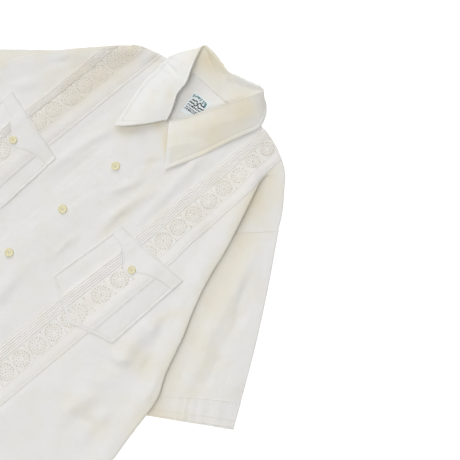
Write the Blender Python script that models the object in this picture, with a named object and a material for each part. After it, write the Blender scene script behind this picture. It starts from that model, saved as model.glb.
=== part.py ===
"""Short-sleeved guayabera shirt, buttoned and laid flat on its back.

The shirt is built in its own frame: +X towards the wearer's left, +Y towards the collar, +Z up from
the surface it lies on.  The origin is on the back panel's underside, on the centre line at chest height.
Every table below is in millimetres from the neck notch, where the two collar leaves meet.  "out" is
a distance from the centre line towards one side, so both fronts and both sleeves share functions.
"""
import math
from collections import namedtuple

import bmesh
import bpy
from mathutils import Vector
from mathutils.bvhtree import BVHTree

MM = 0.001
NOTCH_ABOVE_ORIGIN = 200.0

# Cloth
WALL = 1.1
GAP = 0.3
TIER = WALL + GAP
ROLL = TIER / 2
BACK_MID = WALL / 2
FRONT_MID = BACK_MID + TIER
FRONT_LOFT = 0.8
LOFT_FADE = 30.0
SEAM_GAP = 0.6
CARRY_FADE = 45.0

# Body
LEFT, RIGHT = 1, -1
HEM_Y = -660.0
PLACKET_OUT = 18.0
PLACKET_LIFT = TIER + 0.4
PLACKET_LIFT_FROM, PLACKET_LIFT_TO = 56.0, 22.0

# Band of pin tucks and eyelet embroidery
BAND_WIDTH = 65.0
BAND_WALL = 1.0
BAND_INNER = {LEFT: 84.5, RIGHT: 69.5}
TUCKS = 5
TUCK_PITCH = 3.5
TUCK_RISE = 0.7
EMBROIDERY_FROM, EMBROIDERY_TO = 18.0, 44.5
EMBROIDERY_RISE = 0.35
BAND_REACH = 3.0
BAND_FOLD_CLEARANCE = 4.0
BAND_SEAM_ALLOWANCE = 1.2

# Pocket
POCKET_WALL = 1.0
POCKET_EASE = 0.45
POCKET_REACH = 7.0
POCKET_LENGTH = 110.0
POCKET_POINT_ACROSS = 0.52
TAB_WALL = 1.3
TAB_REACH = 0.6
POCKET_BAND_REACH = 1.2
POCKET_BAND_ENDS = (0.02, 0.985)

# Buttons
BUTTON_D = 11.8
POCKET_BUTTON_D = 10.4
BUTTON_THICK = 2.2
BUTTON_RIM = 1.3
BUTTON_DISH = 0.6
BUTTON_EDGE = 0.5
BUTTON_SIDES = 14
BUTTON_PITCH = 89.1
BUTTON_TOP_Y = -91.7
BUTTON_X = 2.0
BUTTON_COUNT = 6

# Collar and label
COLLAR_WALL = 1.4
LABEL_SIZE = (28.0, 32.0)
LABEL_CENTRE = (7.0, 42.0)
LABEL_WALL = 0.6

# Colours as linear RGB
CREAM = (0.76, 0.74, 0.70)
AGED_CREAM = (0.72, 0.67, 0.57)
BAND_CREAM = (0.73, 0.69, 0.61)
SHELL_YELLOW = (0.74, 0.68, 0.46)
LABEL_GREY = (0.62, 0.66, 0.66)

Knot = namedtuple("Knot", "y out")
Side = namedtuple("Side", "y out turn_under lift_reach lift")
Top = namedtuple("Top", "out y")
Fold = namedtuple("Fold", "x0 y0 x1 y1 width rise")
PocketRow = namedtuple("PocketRow", "inner_x inner_y outer_x outer_y point")
TabPoint = namedtuple("TabPoint", "across depth")
Station = namedtuple("Station", "nx ny nz rx ry rz ex ey ez sway")

# Shoulder line of each side, from the neck outwards
SHOULDER = {
    LEFT: [Top(47, 83.5), Top(62, 86.5), Top(86.9, 88.6), Top(107.5, 87.1), Top(132.4, 80.4),
           Top(152.5, 70.3), Top(166.3, 57.1), Top(192.8, 29.0), Top(204.1, 12.8)],
    RIGHT: [Top(42, 63.5), Top(58, 59.0), Top(74.6, 53.8), Top(98.6, 42.6), Top(112.6, 33.3)],
}

# Edge of each front: first the fold that lies over the sleeve, then the body's side down to the hem.
# turn_under is how far the cloth runs back beneath the edge; lift_reach is how far inwards the front
# is carried by the layers under it, and lift is their height.
SIDE_EDGE = {
    LEFT: [Side(77.5, 138.6, -7, 10, 0.0), Side(68, 139.2, -7, 10, 0.3), Side(59.5, 140.0, -6, 12, 1.2),
           Side(49.5, 140.4, 3.5, 13, 2.8), Side(39.4, 142.0, 5.5, 15, 2.8), Side(23, 149.0, 9, 19, 2.8),
           Side(7.2, 156.0, 13, 25, 2.8), Side(-20.1, 167.8, 21, 35, 2.8), Side(-63.3, 185.3, 36, 48, 2.8),
           Side(-83, 191.6, 33, 51, 2.8), Side(-105.3, 200.0, 28, 55, 2.8), Side(-145.1, 219.0, 23, 69, 2.8),
           Side(-170, 233.0, 20, 84, 2.8), Side(-188.7, 241.5, 17, 93, 2.8), Side(-218.8, 255.5, 13, 105, 2.8),
           Side(-246.2, 272.3, 10, 117, 2.8), Side(-269.2, 278.6, 9, 117, 2.8),
           Side(-301.3, 285.7, 9, 114, 2.8), Side(-337.3, 293.5, 9, 112, 2.8),
           Side(-372, 299.0, 9, 105, 1.6), Side(-420, 303.5, 9, 90, 0.0), Side(-520, 306.5, 9, 90, 0.0),
           Side(-660, 307.5, 9, 90, 0.0)],
    RIGHT: [Side(33.3, 112.6, 10, 10, 0.0), Side(20.1, 123.9, 12, 14, 0.0), Side(-2.2, 138.9, 12, 24, 2.4),
            Side(-34.7, 162.4, 12, 36, 2.8), Side(-61, 180.9, 16, 56, 2.8), Side(-105.3, 204.5, 20, 86, 2.8),
            Side(-145.1, 223.0, 20, 112, 2.8), Side(-188.7, 245.5, 16, 138, 2.8),
            Side(-218.8, 261.0, 12, 152, 2.8), Side(-246.2, 271.5, 10, 160, 2.8),
            Side(-269.2, 276.5, 9, 160, 2.8), Side(-301.3, 283.0, 9, 160, 2.8),
            Side(-337.3, 290.5, 9, 155, 2.8), Side(-372, 296.0, 9, 150, 2.8), Side(-420, 300.5, 9, 130, 0.0),
            Side(-520, 304.0, 9, 120, 0.0), Side(-660, 305.5, 9, 120, 0.0)],
}

# Armhole seam of each sleeve, from the shoulder tip to the underarm
ARMHOLE = {
    LEFT: [Knot(12.8, 204.1), Knot(-8.6, 187.9), Knot(-30, 171.7), Knot(-50, 163.5), Knot(-75, 159),
           Knot(-105, 158), Knot(-140, 162), Knot(-180, 171), Knot(-225, 181)],
    RIGHT: [Knot(-22, 148), Knot(-45, 140), Knot(-75, 134), Knot(-105, 131), Knot(-140, 130),
            Knot(-180, 132), Knot(-225, 136)],
}
CUFF = {LEFT: (Vector((217, -316)), Vector((365, -197.1))), RIGHT: (Vector((174, -350)), Vector((320, -228)))}
SLEEVE_BOW = 5.0
SLEEVE_HEM = 35.0
SLEEVE_HEM_EXTRA = 0.4
SLEEVE_LOFT = 4.2
SLEEVE_CLEAR_FROM = 20.0
SLEEVE_CLEAR_FADE = 26.0

# Front neckline beneath the collar
NECKLINE = {
    LEFT: [Knot(-11, -18), Knot(-5, -4), Knot(10, 15), Knot(24, 24.5), Knot(50, 35.5), Knot(70, 43.5),
           Knot(83.5, 47)],
    RIGHT: [Knot(-11, -18), Knot(-5, -4), Knot(10, 14), Knot(31, 26.5), Knot(45, 32), Knot(56, 38),
            Knot(63.5, 42)],
}
BACK_NECK = [Top(-42, 63.5), Top(-24.4, 68.0), Top(0, 71.0), Top(24.9, 73.8), Top(47, 83.5)]

# Lowest row of the curved top part of each front
TOP_FROM = {LEFT: -30.0, RIGHT: -61.0}

# Large soft folds: ridges rise, troughs sink
FRONT_FOLDS = {
    LEFT: [Fold(59, -93, 50, -150, 9, 1.6), Fold(80, -25, 84, -120, 7, -0.9), Fold(36, -82, 24, -118, 6, 1.4),
           Fold(30, -48, 22, -80, 6, -0.8), Fold(190, -180, 214, -268, 13, 2.2),
           Fold(203, -120, 222, -215, 10, -0.8), Fold(252, -217, 268, -262, 9, 1.8),
           Fold(216, -300, 214, -362, 14, 2.4), Fold(246, -305, 248, -352, 12, 1.8),
           Fold(120, -300, 170, -420, 22, 2.0), Fold(60, -330, 90, -470, 20, 1.8),
           Fold(210, -440, 236, -560, 20, 2.4), Fold(120, -520, 150, -640, 18, 2.0)],
    RIGHT: [Fold(-44, -58, -52, -170, 9, 1.6), Fold(-30, -95, -34, -190, 8, -0.6),
            Fold(-150, -60, -176, -140, 10, 1.2), Fold(-196, -250, -206, -350, 15, 2.4),
            Fold(-60, -300, -84, -440, 20, 2.0), Fold(-140, -420, -176, -560, 22, 2.2),
            Fold(-238, -430, -246, -560, 16, 2.0)],
}
SLEEVE_FOLDS = {
    LEFT: [Fold(262, -100, 299, -214, 13, -3.0), Fold(236, -78, 258, -170, 12, 2.0),
           Fold(196, -26, 236, -80, 12, 1.6), Fold(320, -150, 344, -196, 14, 1.4)],
    RIGHT: [Fold(-226, -110, -268, -214, 10, 1.8), Fold(-284, -176, -304, -224, 10, -1.4)],
}

# Pocket of the wearer's left front, from its top edge down; the other pocket is its mirror image, shifted
POCKET = [PocketRow(68.8, -137.4, 177.2, -123.8, 0.0), PocketRow(67.4, -158, 177.8, -146, 0.0),
          PocketRow(66.0, -180, 178.5, -170, 0.0), PocketRow(64.2, -204, 179.2, -196, 0.0),
          PocketRow(62.6, -228, 180.1, -224, 0.0), PocketRow(61.4, -246.4, 180.8, -244.3, 23.4)]
TAB = [TabPoint(0.0, 17.0), TabPoint(0.17, 20.5), TabPoint(0.31, 29.0), TabPoint(0.475, 41.5),
       TabPoint(0.65, 28.0), TabPoint(0.80, 21.5), TabPoint(1.0, 18.0)]
POCKET_SHIFT = {LEFT: Vector((0, 0)), RIGHT: Vector((-11.7, -6.4))}
POCKET_BUTTON = Vector((123.5, -164.8))

# Collar: neck seam, roll line and leaf edge, from the wearer's right point round the neck to the left
COLLAR = [
    Station(-3.5, -3.0, 6.4, -2.0, 0.5, 10.5, -41.4, -57.7, 10.0, 7.0),
    Station(-8.0, 6.0, 6.0, -5.5, 9.0, 12.0, -48.0, -38.0, 8.6, 5.0),
    Station(-16.5, 17.0, 4.8, -11.5, 20.0, 14.2, -54.5, -18.0, 7.8, 2.0),
    Station(-26.0, 31.0, 4.4, -18.7, 31.6, 16.5, -60.8, 0.5, 7.4, 0.0),
    Station(-29.5, 40.0, 4.4, -20.8, 41.5, 18.4, -64.6, 18.0, 7.0, 0.0),
    Station(-33.0, 48.5, 4.4, -22.5, 50.5, 20.0, -65.6, 35.0, 6.8, 0.0),
    Station(-37.0, 56.0, 4.2, -30.0, 64.0, 21.5, -68.0, 49.5, 6.6, 0.0),
    Station(-39.5, 61.0, 4.0, -36.5, 76.0, 22.0, -67.0, 64.0, 5.2, 0.0),
    Station(-37.5, 66.0, 3.0, -42.0, 88.0, 22.0, -61.5, 79.5, 3.2, 0.0),
    Station(-33.0, 69.0, 2.2, -45.7, 101.0, 20.5, -51.5, 95.5, 2.2, 0.0),
    Station(-26.0, 70.5, 1.9, -37.0, 103.5, 19.5, -38.0, 90.0, 0.9, 0.0),
    Station(-14.0, 72.0, 1.9, -18.0, 103.8, 18.0, -18.0, 81.0, 0.9, 0.0),
    Station(0.0, 73.4, 1.9, 2.7, 103.5, 17.5, 2.0, 80.0, 0.9, 0.0),
    Station(14.0, 75.0, 1.9, 22.9, 110.4, 20.0, 20.0, 84.0, 0.9, 0.0),
    Station(25.0, 76.6, 2.0, 39.0, 116.5, 22.0, 38.0, 95.0, 0.9, 0.0),
    Station(34.0, 80.5, 2.6, 51.0, 119.8, 22.0, 56.5, 113.0, 2.0, 0.0),
    Station(40.0, 81.5, 4.0, 49.5, 110.0, 22.3, 71.0, 106.0, 4.2, 0.0),
    Station(43.0, 78.0, 4.4, 46.0, 99.0, 22.3, 81.0, 96.5, 6.6, 0.0),
    Station(42.5, 70.0, 4.4, 40.6, 84.8, 21.6, 84.4, 84.5, 7.2, 0.0),
    Station(39.0, 60.0, 4.4, 34.6, 70.5, 20.0, 79.6, 66.0, 7.2, 0.0),
    Station(34.6, 49.5, 4.4, 28.5, 56.0, 18.0, 74.4, 47.0, 7.0, 0.0),
    Station(29.5, 37.5, 4.4, 22.3, 41.5, 16.0, 70.6, 30.0, 7.0, 0.0),
    Station(23.5, 25.5, 4.6, 16.1, 27.0, 14.0, 66.0, 12.0, 7.0, 0.0),
    Station(15.0, 11.5, 6.2, 9.5, 13.8, 12.0, 59.0, -12.0, 7.2, 0.0),
    Station(4.5, -2.0, 6.4, 2.0, 0.5, 10.5, 48.1, -45.6, 7.6, 0.0),
]

# Rows and columns of the cloth grids: heights in millimetres, or shares of a piece's width or length
PLAIN_COLUMNS = {LEFT: (-8.0, 6.0, 20.0, 34.0, 46.0, 58.0), RIGHT: (-8.0, 6.0, 22.0, 34.0, 46.0, 56.0)}
OUTER_SHARES = (0.28, 0.55, 0.8, 1.0)
EDGE_COLUMN = 15
TURN_POINTS = 3
LOWER_FROM = EDGE_COLUMN + TURN_POINTS + 2
LOWER_SHARES = (0.08, 0.4, 0.7, 1.0)
LOWER_LAYER_FROM_Y = -76.0
TOP_SHARES = {LEFT: (0.16, 0.33, 0.5, 0.645, 0.74, 0.832, 0.9, 1.0),
              RIGHT: (0.16, 0.32, 0.48, 0.64, 0.82, 1.0)}
STRAIGHT_ROWS = {
    LEFT: (HEM_Y, -600, -540, -480, -430, -390, -360, -335, -310, -285, -262, -240, -215, -190, -160, -130,
           -100, -75, -52, -30),
    RIGHT: (HEM_Y, -600, -540, -480, -430, -390, -360, -335, -310, -285, -262, -240, -215, -190, -160, -130,
            -100, -80, -61),
}
BACK_SHARES = (0, 0.023, 0.05, 0.083, 0.125, 0.175, 0.26, 0.38, 0.5, 0.62, 0.74, 0.825, 0.875, 0.917, 0.95,
               0.977, 1)
BACK_ROWS = (HEM_Y, -570, -490, -440, -405, -380, -355, -330, -305, -280, -260, -240, -222, -205, -192, -180,
             -160, -140, -105, -75, -50, -30)
BACK_TOP_SHARES = (0.3, 0.6, 0.85, 1.0)
BACK_LEFT_TOP = Top(-100.0, 41.0)
BACK_LIFT_FROM_Y, BACK_LIFT_FADE = -100.0, 32.0
BACK_CARRY_FADE = 30.0
BACK_UNDER_SLEEVE_Y, BACK_BESIDE_SLEEVE_Y = -140.0, -228.0
BACK_SIDE_GAP, BACK_ARMHOLE_INSET = 2.0, 3.0
SLEEVE_ACROSS = (0.0, 0.1, 0.22, 0.36, 0.5, 0.64, 0.78, 0.9, 0.97, 1.0)
SLEEVE_ALONG = (0.0, 0.1, 0.2, 0.32, 0.45, 0.58, 0.7, 0.8, 0.87, 0.94, 1.0)
POCKET_ACROSS = (0.0, 0.07, 0.16, 0.26, 0.36, 0.46, 0.52, 0.62, 0.72, 0.82, 0.92, 1.0)
POCKET_DEPTH = (0.0, 0.1, 0.2, 0.32, 0.44, 0.56, 0.68, 0.8, 0.9, 1.0)
TAB_ACROSS = (0.0, 0.08, 0.17, 0.24, 0.31, 0.4, 0.475, 0.56, 0.65, 0.72, 0.8, 0.9, 1.0)


def smooth(value):
    """Ease from 0 to 1 with level ends."""
    value = min(1.0, max(0.0, value))
    return value * value * (3 - 2 * value)


def read_table(table, key, column, at):
    """Value of one column where the key column has the given value, by straight runs."""
    rows = sorted(table, key=lambda row: getattr(row, key))
    first, last = rows[0], rows[-1]
    if at <= getattr(first, key):
        return getattr(first, column)
    if at >= getattr(last, key):
        return getattr(last, column)
    for low, high in zip(rows, rows[1:]):
        if at <= getattr(high, key):
            share = (at - getattr(low, key)) / (getattr(high, key) - getattr(low, key))
            return getattr(low, column) + share * (getattr(high, column) - getattr(low, column))
    return getattr(last, column)


def mix(a, b, share):
    return a + (b - a) * share


def fold_height(folds, x, y):
    """Height that the soft folds add at a point, fading towards both ends of each fold."""
    height = 0.0
    for fold in folds:
        run = Vector((fold.x1 - fold.x0, fold.y1 - fold.y0))
        from_start = Vector((x - fold.x0, y - fold.y0))
        along = from_start.dot(run) / run.length_squared
        across = abs(from_start.x * run.y - from_start.y * run.x) / run.length
        end_fade = smooth((along + 0.25) / 0.5) * smooth((1.25 - along) / 0.5)
        height += fold.rise * end_fade * math.exp(-(across / fold.width) ** 2)
    return height


def edge_out(side, y):
    return read_table(SIDE_EDGE[side], "y", "out", y)


def carried(side, x, y, spread):
    """How far the hidden layers near one side lift the cloth that lies over them."""
    inwards = edge_out(side, y) - side * x
    reach = read_table(SIDE_EDGE[side], "y", "lift_reach", y)
    lift = read_table(SIDE_EDGE[side], "y", "lift", y)
    return lift * smooth((reach + spread - inwards) / spread)


class Piece:
    """A piece of cloth or trim as a closed mesh, kept for what is laid on top of it."""

    def __init__(self, name, material, parent):
        self.name = name
        self.material = material
        self.parent = parent
        self.mesh = bmesh.new()

    def finish(self):
        bmesh.ops.recalc_face_normals(self.mesh, faces=self.mesh.faces[:])
        self.tree = BVHTree.FromBMesh(self.mesh)
        for vertex in self.mesh.verts:
            vertex.co = (vertex.co + Vector((0, NOTCH_ABOVE_ORIGIN, 0))) * MM
        data = bpy.data.meshes.new(self.name)
        self.mesh.to_mesh(data)
        self.mesh.free()
        data.shade_smooth()
        data.set_sharp_from_angle(angle=math.radians(50))
        data.materials.append(self.material)
        body = bpy.data.objects.new(self.name, data)
        body.parent = self.parent
        bpy.context.collection.objects.link(body)
        return self

    def top_at(self, x, y):
        hit = self.tree.ray_cast(Vector((x, y, 200.0)), Vector((0, 0, -1)))[0]
        return None if hit is None else hit.z


def top_near(pieces, x, y, reach):
    """Highest point of the pieces within reach of a place, so what is laid there clears them."""
    heights = []
    steps = [reach * share for share in (-1.0, -0.66, -0.35, 0.0, 0.3, 0.7, 1.0)]
    for step_x in steps:
        for step_y in steps:
            for piece in pieces:
                height = piece.top_at(x + step_x, y + step_y)
                if height is not None:
                    heights.append(height)
    return max(heights)


def skin(piece, under, over, present=None, ring=False):
    """Close two matching grids of points, one below and one above, into one wall."""
    rows, columns = len(under), len(under[0])
    last_column = columns if ring else columns - 1
    mesh = piece.mesh
    used = {}

    def corner(layer, grid, row, column):
        key = (layer, row, column % columns)
        if key not in used:
            used[key] = mesh.verts.new(grid[row][column % columns])
        return used[key]

    def exists(row, column):
        if not 0 <= row < rows - 1:
            return False
        if ring:
            column %= columns
        elif not 0 <= column < columns - 1:
            return False
        return present is None or present(row, column)

    for row in range(rows - 1):
        for column in range(last_column):
            if not exists(row, column):
                continue
            square = [(row, column), (row, column + 1), (row + 1, column + 1), (row + 1, column)]
            mesh.faces.new([corner("over", over, *place) for place in square])
            mesh.faces.new([corner("under", under, *place) for place in reversed(square)])
            beyond = [(row - 1, column), (row, column + 1), (row + 1, column), (row, column - 1)]
            for index, neighbour in enumerate(beyond):
                if exists(*neighbour):
                    continue
                first, second = square[index], square[(index + 1) % 4]
                mesh.faces.new([corner("over", over, *second), corner("over", over, *first),
                                corner("under", under, *first), corner("under", under, *second)])
    return piece


def walls(middle, wall, present=None, ring=False):
    """Offset a grid of mid-cloth points by half the wall to each side, along the cloth's normals."""
    rows, columns = len(middle), len(middle[0])

    def has(row, column):
        if not 0 <= row < rows - 1:
            return False
        if ring:
            column %= columns
        elif not 0 <= column < columns - 1:
            return False
        return present is None or present(row, column)

    under, over = [], []
    for row in range(rows):
        under.append([])
        over.append([])
        for column in range(columns):
            normal = Vector((0, 0, 0))
            for down, left in ((0, 0), (0, -1), (-1, 0), (-1, -1)):
                r, c = row + down, column + left
                if not has(r, c):
                    continue
                a, b = middle[r][c % columns], middle[r][(c + 1) % columns]
                d, e = middle[r + 1][c % columns], middle[r + 1][(c + 1) % columns]
                turn = (e - a).cross(d - b)
                if turn.length > 0:
                    normal += turn.normalized()
            normal = normal.normalized() if normal.length > 0 else Vector((0, 0, 1))
            under[-1].append(middle[row][column] - normal * wall / 2)
            over[-1].append(middle[row][column] + normal * wall / 2)
    return under, over


def upward(wall):
    return Vector((0, 0, wall))


def band_edge(side, y):
    """Outer edge of the band: its full width, or short of the side fold where that comes first."""
    return min(BAND_INNER[side] + BAND_WIDTH, edge_out(side, y) - ROLL - BAND_FOLD_CLEARANCE)


def front_columns(side, y, squeeze_y):
    """Distances out of the upper layer's columns, from the placket or neckline to the side edge."""
    neck = read_table(NECKLINE[side], "y", "out", squeeze_y)
    inner = BAND_INNER[side]
    start = -PLACKET_OUT
    plain = (start,) + PLAIN_COLUMNS[side] + (inner - BAND_REACH - 1.0,)
    shares = [(value - start) / (plain[-1] - start) for value in plain]
    columns = [mix(neck, plain[-1], share) for share in shares]
    outer = band_edge(side, y)
    strip = BAND_WIDTH - EMBROIDERY_TO
    if side == LEFT:
        columns += [inner, inner + EMBROIDERY_FROM, inner + EMBROIDERY_TO, outer]
    else:
        columns += [inner, inner + strip, mix(inner + strip, outer, 0.6), outer]
    columns += [mix(outer, edge_out(side, y) - ROLL, share) for share in OUTER_SHARES]
    return columns


def front_height(side, x, y):
    """Mid-cloth height of a front's upper layer."""
    out = side * x
    edge = edge_out(side, y)
    lowest = FRONT_MID + carried(side, x, y, CARRY_FADE)
    height = lowest + FRONT_LOFT * smooth((edge - out) / LOFT_FADE) * smooth((y - HEM_Y) / LOFT_FADE)
    if side == LEFT:
        height += PLACKET_LIFT * smooth((PLACKET_LIFT_FROM - x) / (PLACKET_LIFT_FROM - PLACKET_LIFT_TO))
    from_band = abs(out - BAND_INNER[side] - BAND_WIDTH / 2) - BAND_WIDTH / 2
    calm = smooth(from_band / 10) * smooth((edge - out - 4) / 20) * smooth((out + 12) / 16)
    calm *= 1 - pocket_cover(side, x, y)
    return max(height + fold_height(FRONT_FOLDS[side], x, y) * calm, lowest)


def pocket_cover(side, x, y):
    """1 beneath a pocket, where the front lies calm, easing to 0 around it."""
    out = side * x
    across = smooth((out - 50) / 12) * smooth((192 - out) / 12)
    down = smooth((-112 - y) / 12) * smooth((y + 282) / 12)
    return across * down


def turned_edge(out, z, turn_under, lower_to):
    """Points past the upper layer's last column: the rolled edge, the cloth beneath it and, where the
    pleat is folded out again, the lower layer.  A negative turn lays the same points out flat."""
    points = []
    if turn_under < 0:
        steps = (0.9, 1.8, 2.7, 3.9, 5.1)
        for step in steps:
            points.append((out + step, mix(z, FRONT_MID, smooth(step / (steps[-1] + 2 * ROLL)))))
        for index in range(TURN_POINTS):
            points.append((out + steps[-1] + 0.7 * (index + 1), FRONT_MID))
        start = points[-1][0]
        points += [(mix(start, lower_to, share), FRONT_MID) for share in LOWER_SHARES]
        return points
    for index in range(TURN_POINTS):
        angle = math.pi * (index + 1) / TURN_POINTS
        points.append((out + ROLL * math.sin(angle), z - ROLL + ROLL * math.cos(angle)))
    inner = out - turn_under
    points.append((mix(out, inner, 0.5), z - TIER))
    points.append((inner, z - TIER))
    for index in range(TURN_POINTS):
        angle = math.pi * (index + 1) / TURN_POINTS
        points.append((inner - ROLL * math.sin(angle), z - TIER - ROLL + ROLL * math.cos(angle)))
    points += [(mix(inner, lower_to, share), z - 2 * TIER) for share in LOWER_SHARES]
    return points


def front_levels(side):
    """Row heights up to where the top part starts, then shares of the way from there to the shoulder."""
    straight = [(y, None) for y in STRAIGHT_ROWS[side]]
    return straight + [(TOP_FROM[side], share) for share in TOP_SHARES[side]]


def front_rows(side):
    """Grid of mid-cloth points of a front, from the hem up to the shoulder line."""
    table = SIDE_EDGE[side]
    shoulder = SHOULDER[side]
    rows = []
    neck_top = NECKLINE[side][-1]
    fold_top = table[0]

    def column_plan(y, share):
        squeeze = y if share is None else mix(y, neck_top.y, share)
        edge_y = y if share is None else mix(y, fold_top.y, share)
        columns = front_columns(side, edge_y, squeeze)
        turn = read_table(table, "y", "turn_under", edge_y)
        if side == LEFT:
            arm_y = y if share is None else mix(y, SHOULDER[LEFT][-1].y, share)
            lower_to = read_table(ARMHOLE[LEFT], "y", "out", arm_y) - SEAM_GAP
        else:
            lower_to = columns[-1]
        edge_z = front_height(side, side * columns[-1], edge_y)
        return columns, turn, lower_to, edge_z

    top_columns, top_turn, top_lower, top_z = column_plan(TOP_FROM[side], 1.0)
    top_tail = turned_edge(top_columns[-1], top_z, top_turn, top_lower)
    top_outs = top_columns + [point[0] for point in top_tail]
    for y, share in front_levels(side):
        columns, turn, lower_to, edge_z = column_plan(y, share)
        tail = turned_edge(columns[-1], edge_z, turn, lower_to)
        line = []
        for index, out in enumerate(columns):
            row_y = y if share is None else mix(y, read_table(shoulder, "out", "y", top_outs[index]), share)
            line.append(Vector((side * out, row_y, front_height(side, side * out, row_y))))
        for index, (out, z) in enumerate(tail):
            if share is None:
                row_y = y
            elif side == LEFT:
                row_y = mix(y, read_table(shoulder, "out", "y", top_outs[len(columns) + index]), share)
            else:
                row_y = mix(y, fold_top.y, share)
            line.append(Vector((side * out, row_y, z)))
        rows.append(line)
    return rows


def make_front(side, name, material, parent):
    """A front in one piece: its upper layer, the edge that turns under and, on the wearer's left, the
    pleat's lower layer that runs out to the armhole seam."""
    middle = front_rows(side)

    def present(row, column):
        if column < LOWER_FROM - 1:
            return True
        return side == LEFT and min(middle[row][0].y, middle[row + 1][0].y) >= LOWER_LAYER_FROM_Y

    under, over = walls(middle, WALL, present)
    if side == RIGHT:
        under, over = over, under
    piece = Piece(name, material, parent)
    skin(piece, under, over, present)
    return piece.finish()


def back_side(side, y):
    """Side of the back: along the armhole seam, then beside the front's turned edge."""
    edge = edge_out(side, y) - read_table(SIDE_EDGE[side], "y", "turn_under", y) - BACK_SIDE_GAP
    armhole = ARMHOLE[side]
    if y > armhole[0].y:
        return edge
    arm = read_table(armhole, "y", "out", y) - BACK_ARMHOLE_INSET
    upward_share = (y - BACK_BESIDE_SLEEVE_Y) / (BACK_UNDER_SLEEVE_Y - BACK_BESIDE_SLEEVE_Y)
    return mix(edge, min(arm, edge), smooth(upward_share))


def back_lift(x, y):
    """Rise of the back where it crosses the hidden part of a sleeve, below the underarm only."""
    side = LEFT if x > 0 else RIGHT
    return carried(side, x, y, BACK_CARRY_FADE) * smooth((BACK_LIFT_FROM_Y - y) / BACK_LIFT_FADE)


def make_back(material, parent):
    top_line = [BACK_LEFT_TOP, Top(-98.6, 42.6), Top(-74.6, 53.8)] + BACK_NECK
    top_line += [Top(knot.out, knot.y) for knot in SHOULDER[LEFT][1:]]
    top_left, top_right = BACK_LEFT_TOP.out, SHOULDER[LEFT][-1].out - SEAM_GAP
    low_y = BACK_ROWS[-1]
    middle = []
    for y in BACK_ROWS:
        left, right = -back_side(RIGHT, y), back_side(LEFT, y)
        line = [mix(left, right, share) for share in BACK_SHARES]
        middle.append([Vector((x, y, BACK_MID + back_lift(x, y))) for x in line])
    for share in BACK_TOP_SHARES:
        left_y = mix(low_y, BACK_LEFT_TOP.y, share)
        right_y = mix(low_y, SHOULDER[LEFT][-1].y, share)
        left = -back_side(RIGHT, left_y)
        right = read_table(ARMHOLE[LEFT], "y", "out", right_y) - SEAM_GAP
        if share == 1.0:
            left = top_left
        line = []
        for across in BACK_SHARES:
            top_y = read_table(top_line, "out", "y", mix(top_left, top_right, across))
            line.append(Vector((mix(left, right, across), mix(low_y, top_y, share), BACK_MID)))
        middle.append(line)
    under = [[point - upward(WALL / 2) for point in line] for line in middle]
    over = [[point + upward(WALL / 2) for point in line] for line in middle]
    return skin(Piece("back_panel", material, parent), under, over).finish()


def sleeve_point(side, across, along):
    """Place on a sleeve: across runs from the underarm to the outer edge, along from armhole to cuff."""
    armhole = ARMHOLE[side]
    y = mix(armhole[-1].y, armhole[0].y, across)
    start = Vector((read_table(armhole, "y", "out", y), y))
    inner, outer = CUFF[side]
    end = inner.lerp(outer, across)
    run = (outer - Vector((armhole[0].out, armhole[0].y))).normalized()
    outward = Vector((-run.y, run.x))
    bow = outward * SLEEVE_BOW * math.sin(math.pi * along) * across ** 2
    place = start.lerp(end, along) + bow
    return Vector((side * place.x, place.y))


def make_sleeve(side, name, material, parent):
    """A flattened tube: the lower layer lies on the surface, the upper one has a soft loft where it shows."""
    middle = []
    cuff_run = (CUFF[side][1] - Vector((ARMHOLE[side][0].out, ARMHOLE[side][0].y))).length
    for along in SLEEVE_ALONG:
        flat = [sleeve_point(side, across, along) for across in SLEEVE_ACROSS]
        lower = [Vector((place.x, place.y, BACK_MID)) for place in flat]
        upper = []
        for across, place in zip(SLEEVE_ACROSS, flat):
            past_fold = side * place.x - edge_out(side, place.y)
            clear = smooth((past_fold - SLEEVE_CLEAR_FROM) / SLEEVE_CLEAR_FADE)
            rim = min(1.0, (1 - across) * 9) ** 0.5
            body = SLEEVE_LOFT * math.sin(math.pi * min(1.0, 0.12 + 0.8 * across)) * rim
            ends = smooth((along + 0.12) / 0.2) * mix(0.45, 1.0, smooth((1 - along) / 0.3))
            ripple = fold_height(SLEEVE_FOLDS[side], place.x, place.y) * rim
            rise = max(0.0, (body * ends + ripple) * clear)
            upper.append(Vector((place.x, place.y, FRONT_MID + rise)))
        turn_out = rolled_side(lower[-1], upper[-1], lower[-1] - lower[-2])
        turn_in = rolled_side(upper[0], lower[0], lower[0] - lower[1])
        middle.append(lower + turn_out + upper[::-1] + turn_in)
    under, over = walls(middle, WALL, ring=True)
    if side == LEFT:
        inside, outside = over, under
    else:
        inside, outside = under, over
    count = len(SLEEVE_ACROSS)
    for row, along in enumerate(SLEEVE_ALONG):
        if (1 - along) * cuff_run > SLEEVE_HEM:
            continue
        for column in range(count + 2, 2 * count + 2):
            outside[row][column] = outside[row][column] + upward(SLEEVE_HEM_EXTRA)
    flatten(outside, 0.0)
    return skin(Piece(name, material, parent), inside, outside, ring=True).finish()


def rolled_side(first, last, outward):
    """Two points round the half circle that joins one layer's edge to the other's."""
    centre = (first + last) / 2
    radius = (last - first).length / 2
    outward = Vector((outward.x, outward.y, 0)).normalized() * radius
    half = (first - last) / 2
    points = []
    for angle in (math.radians(60), math.radians(120)):
        points.append(centre + half * math.cos(angle) + outward * math.sin(angle))
    return points


def flatten(grid, floor):
    for line in grid:
        for index, point in enumerate(line):
            if point.z < floor + WALL * 0.35:
                line[index] = Vector((point.x, point.y, floor))


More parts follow.
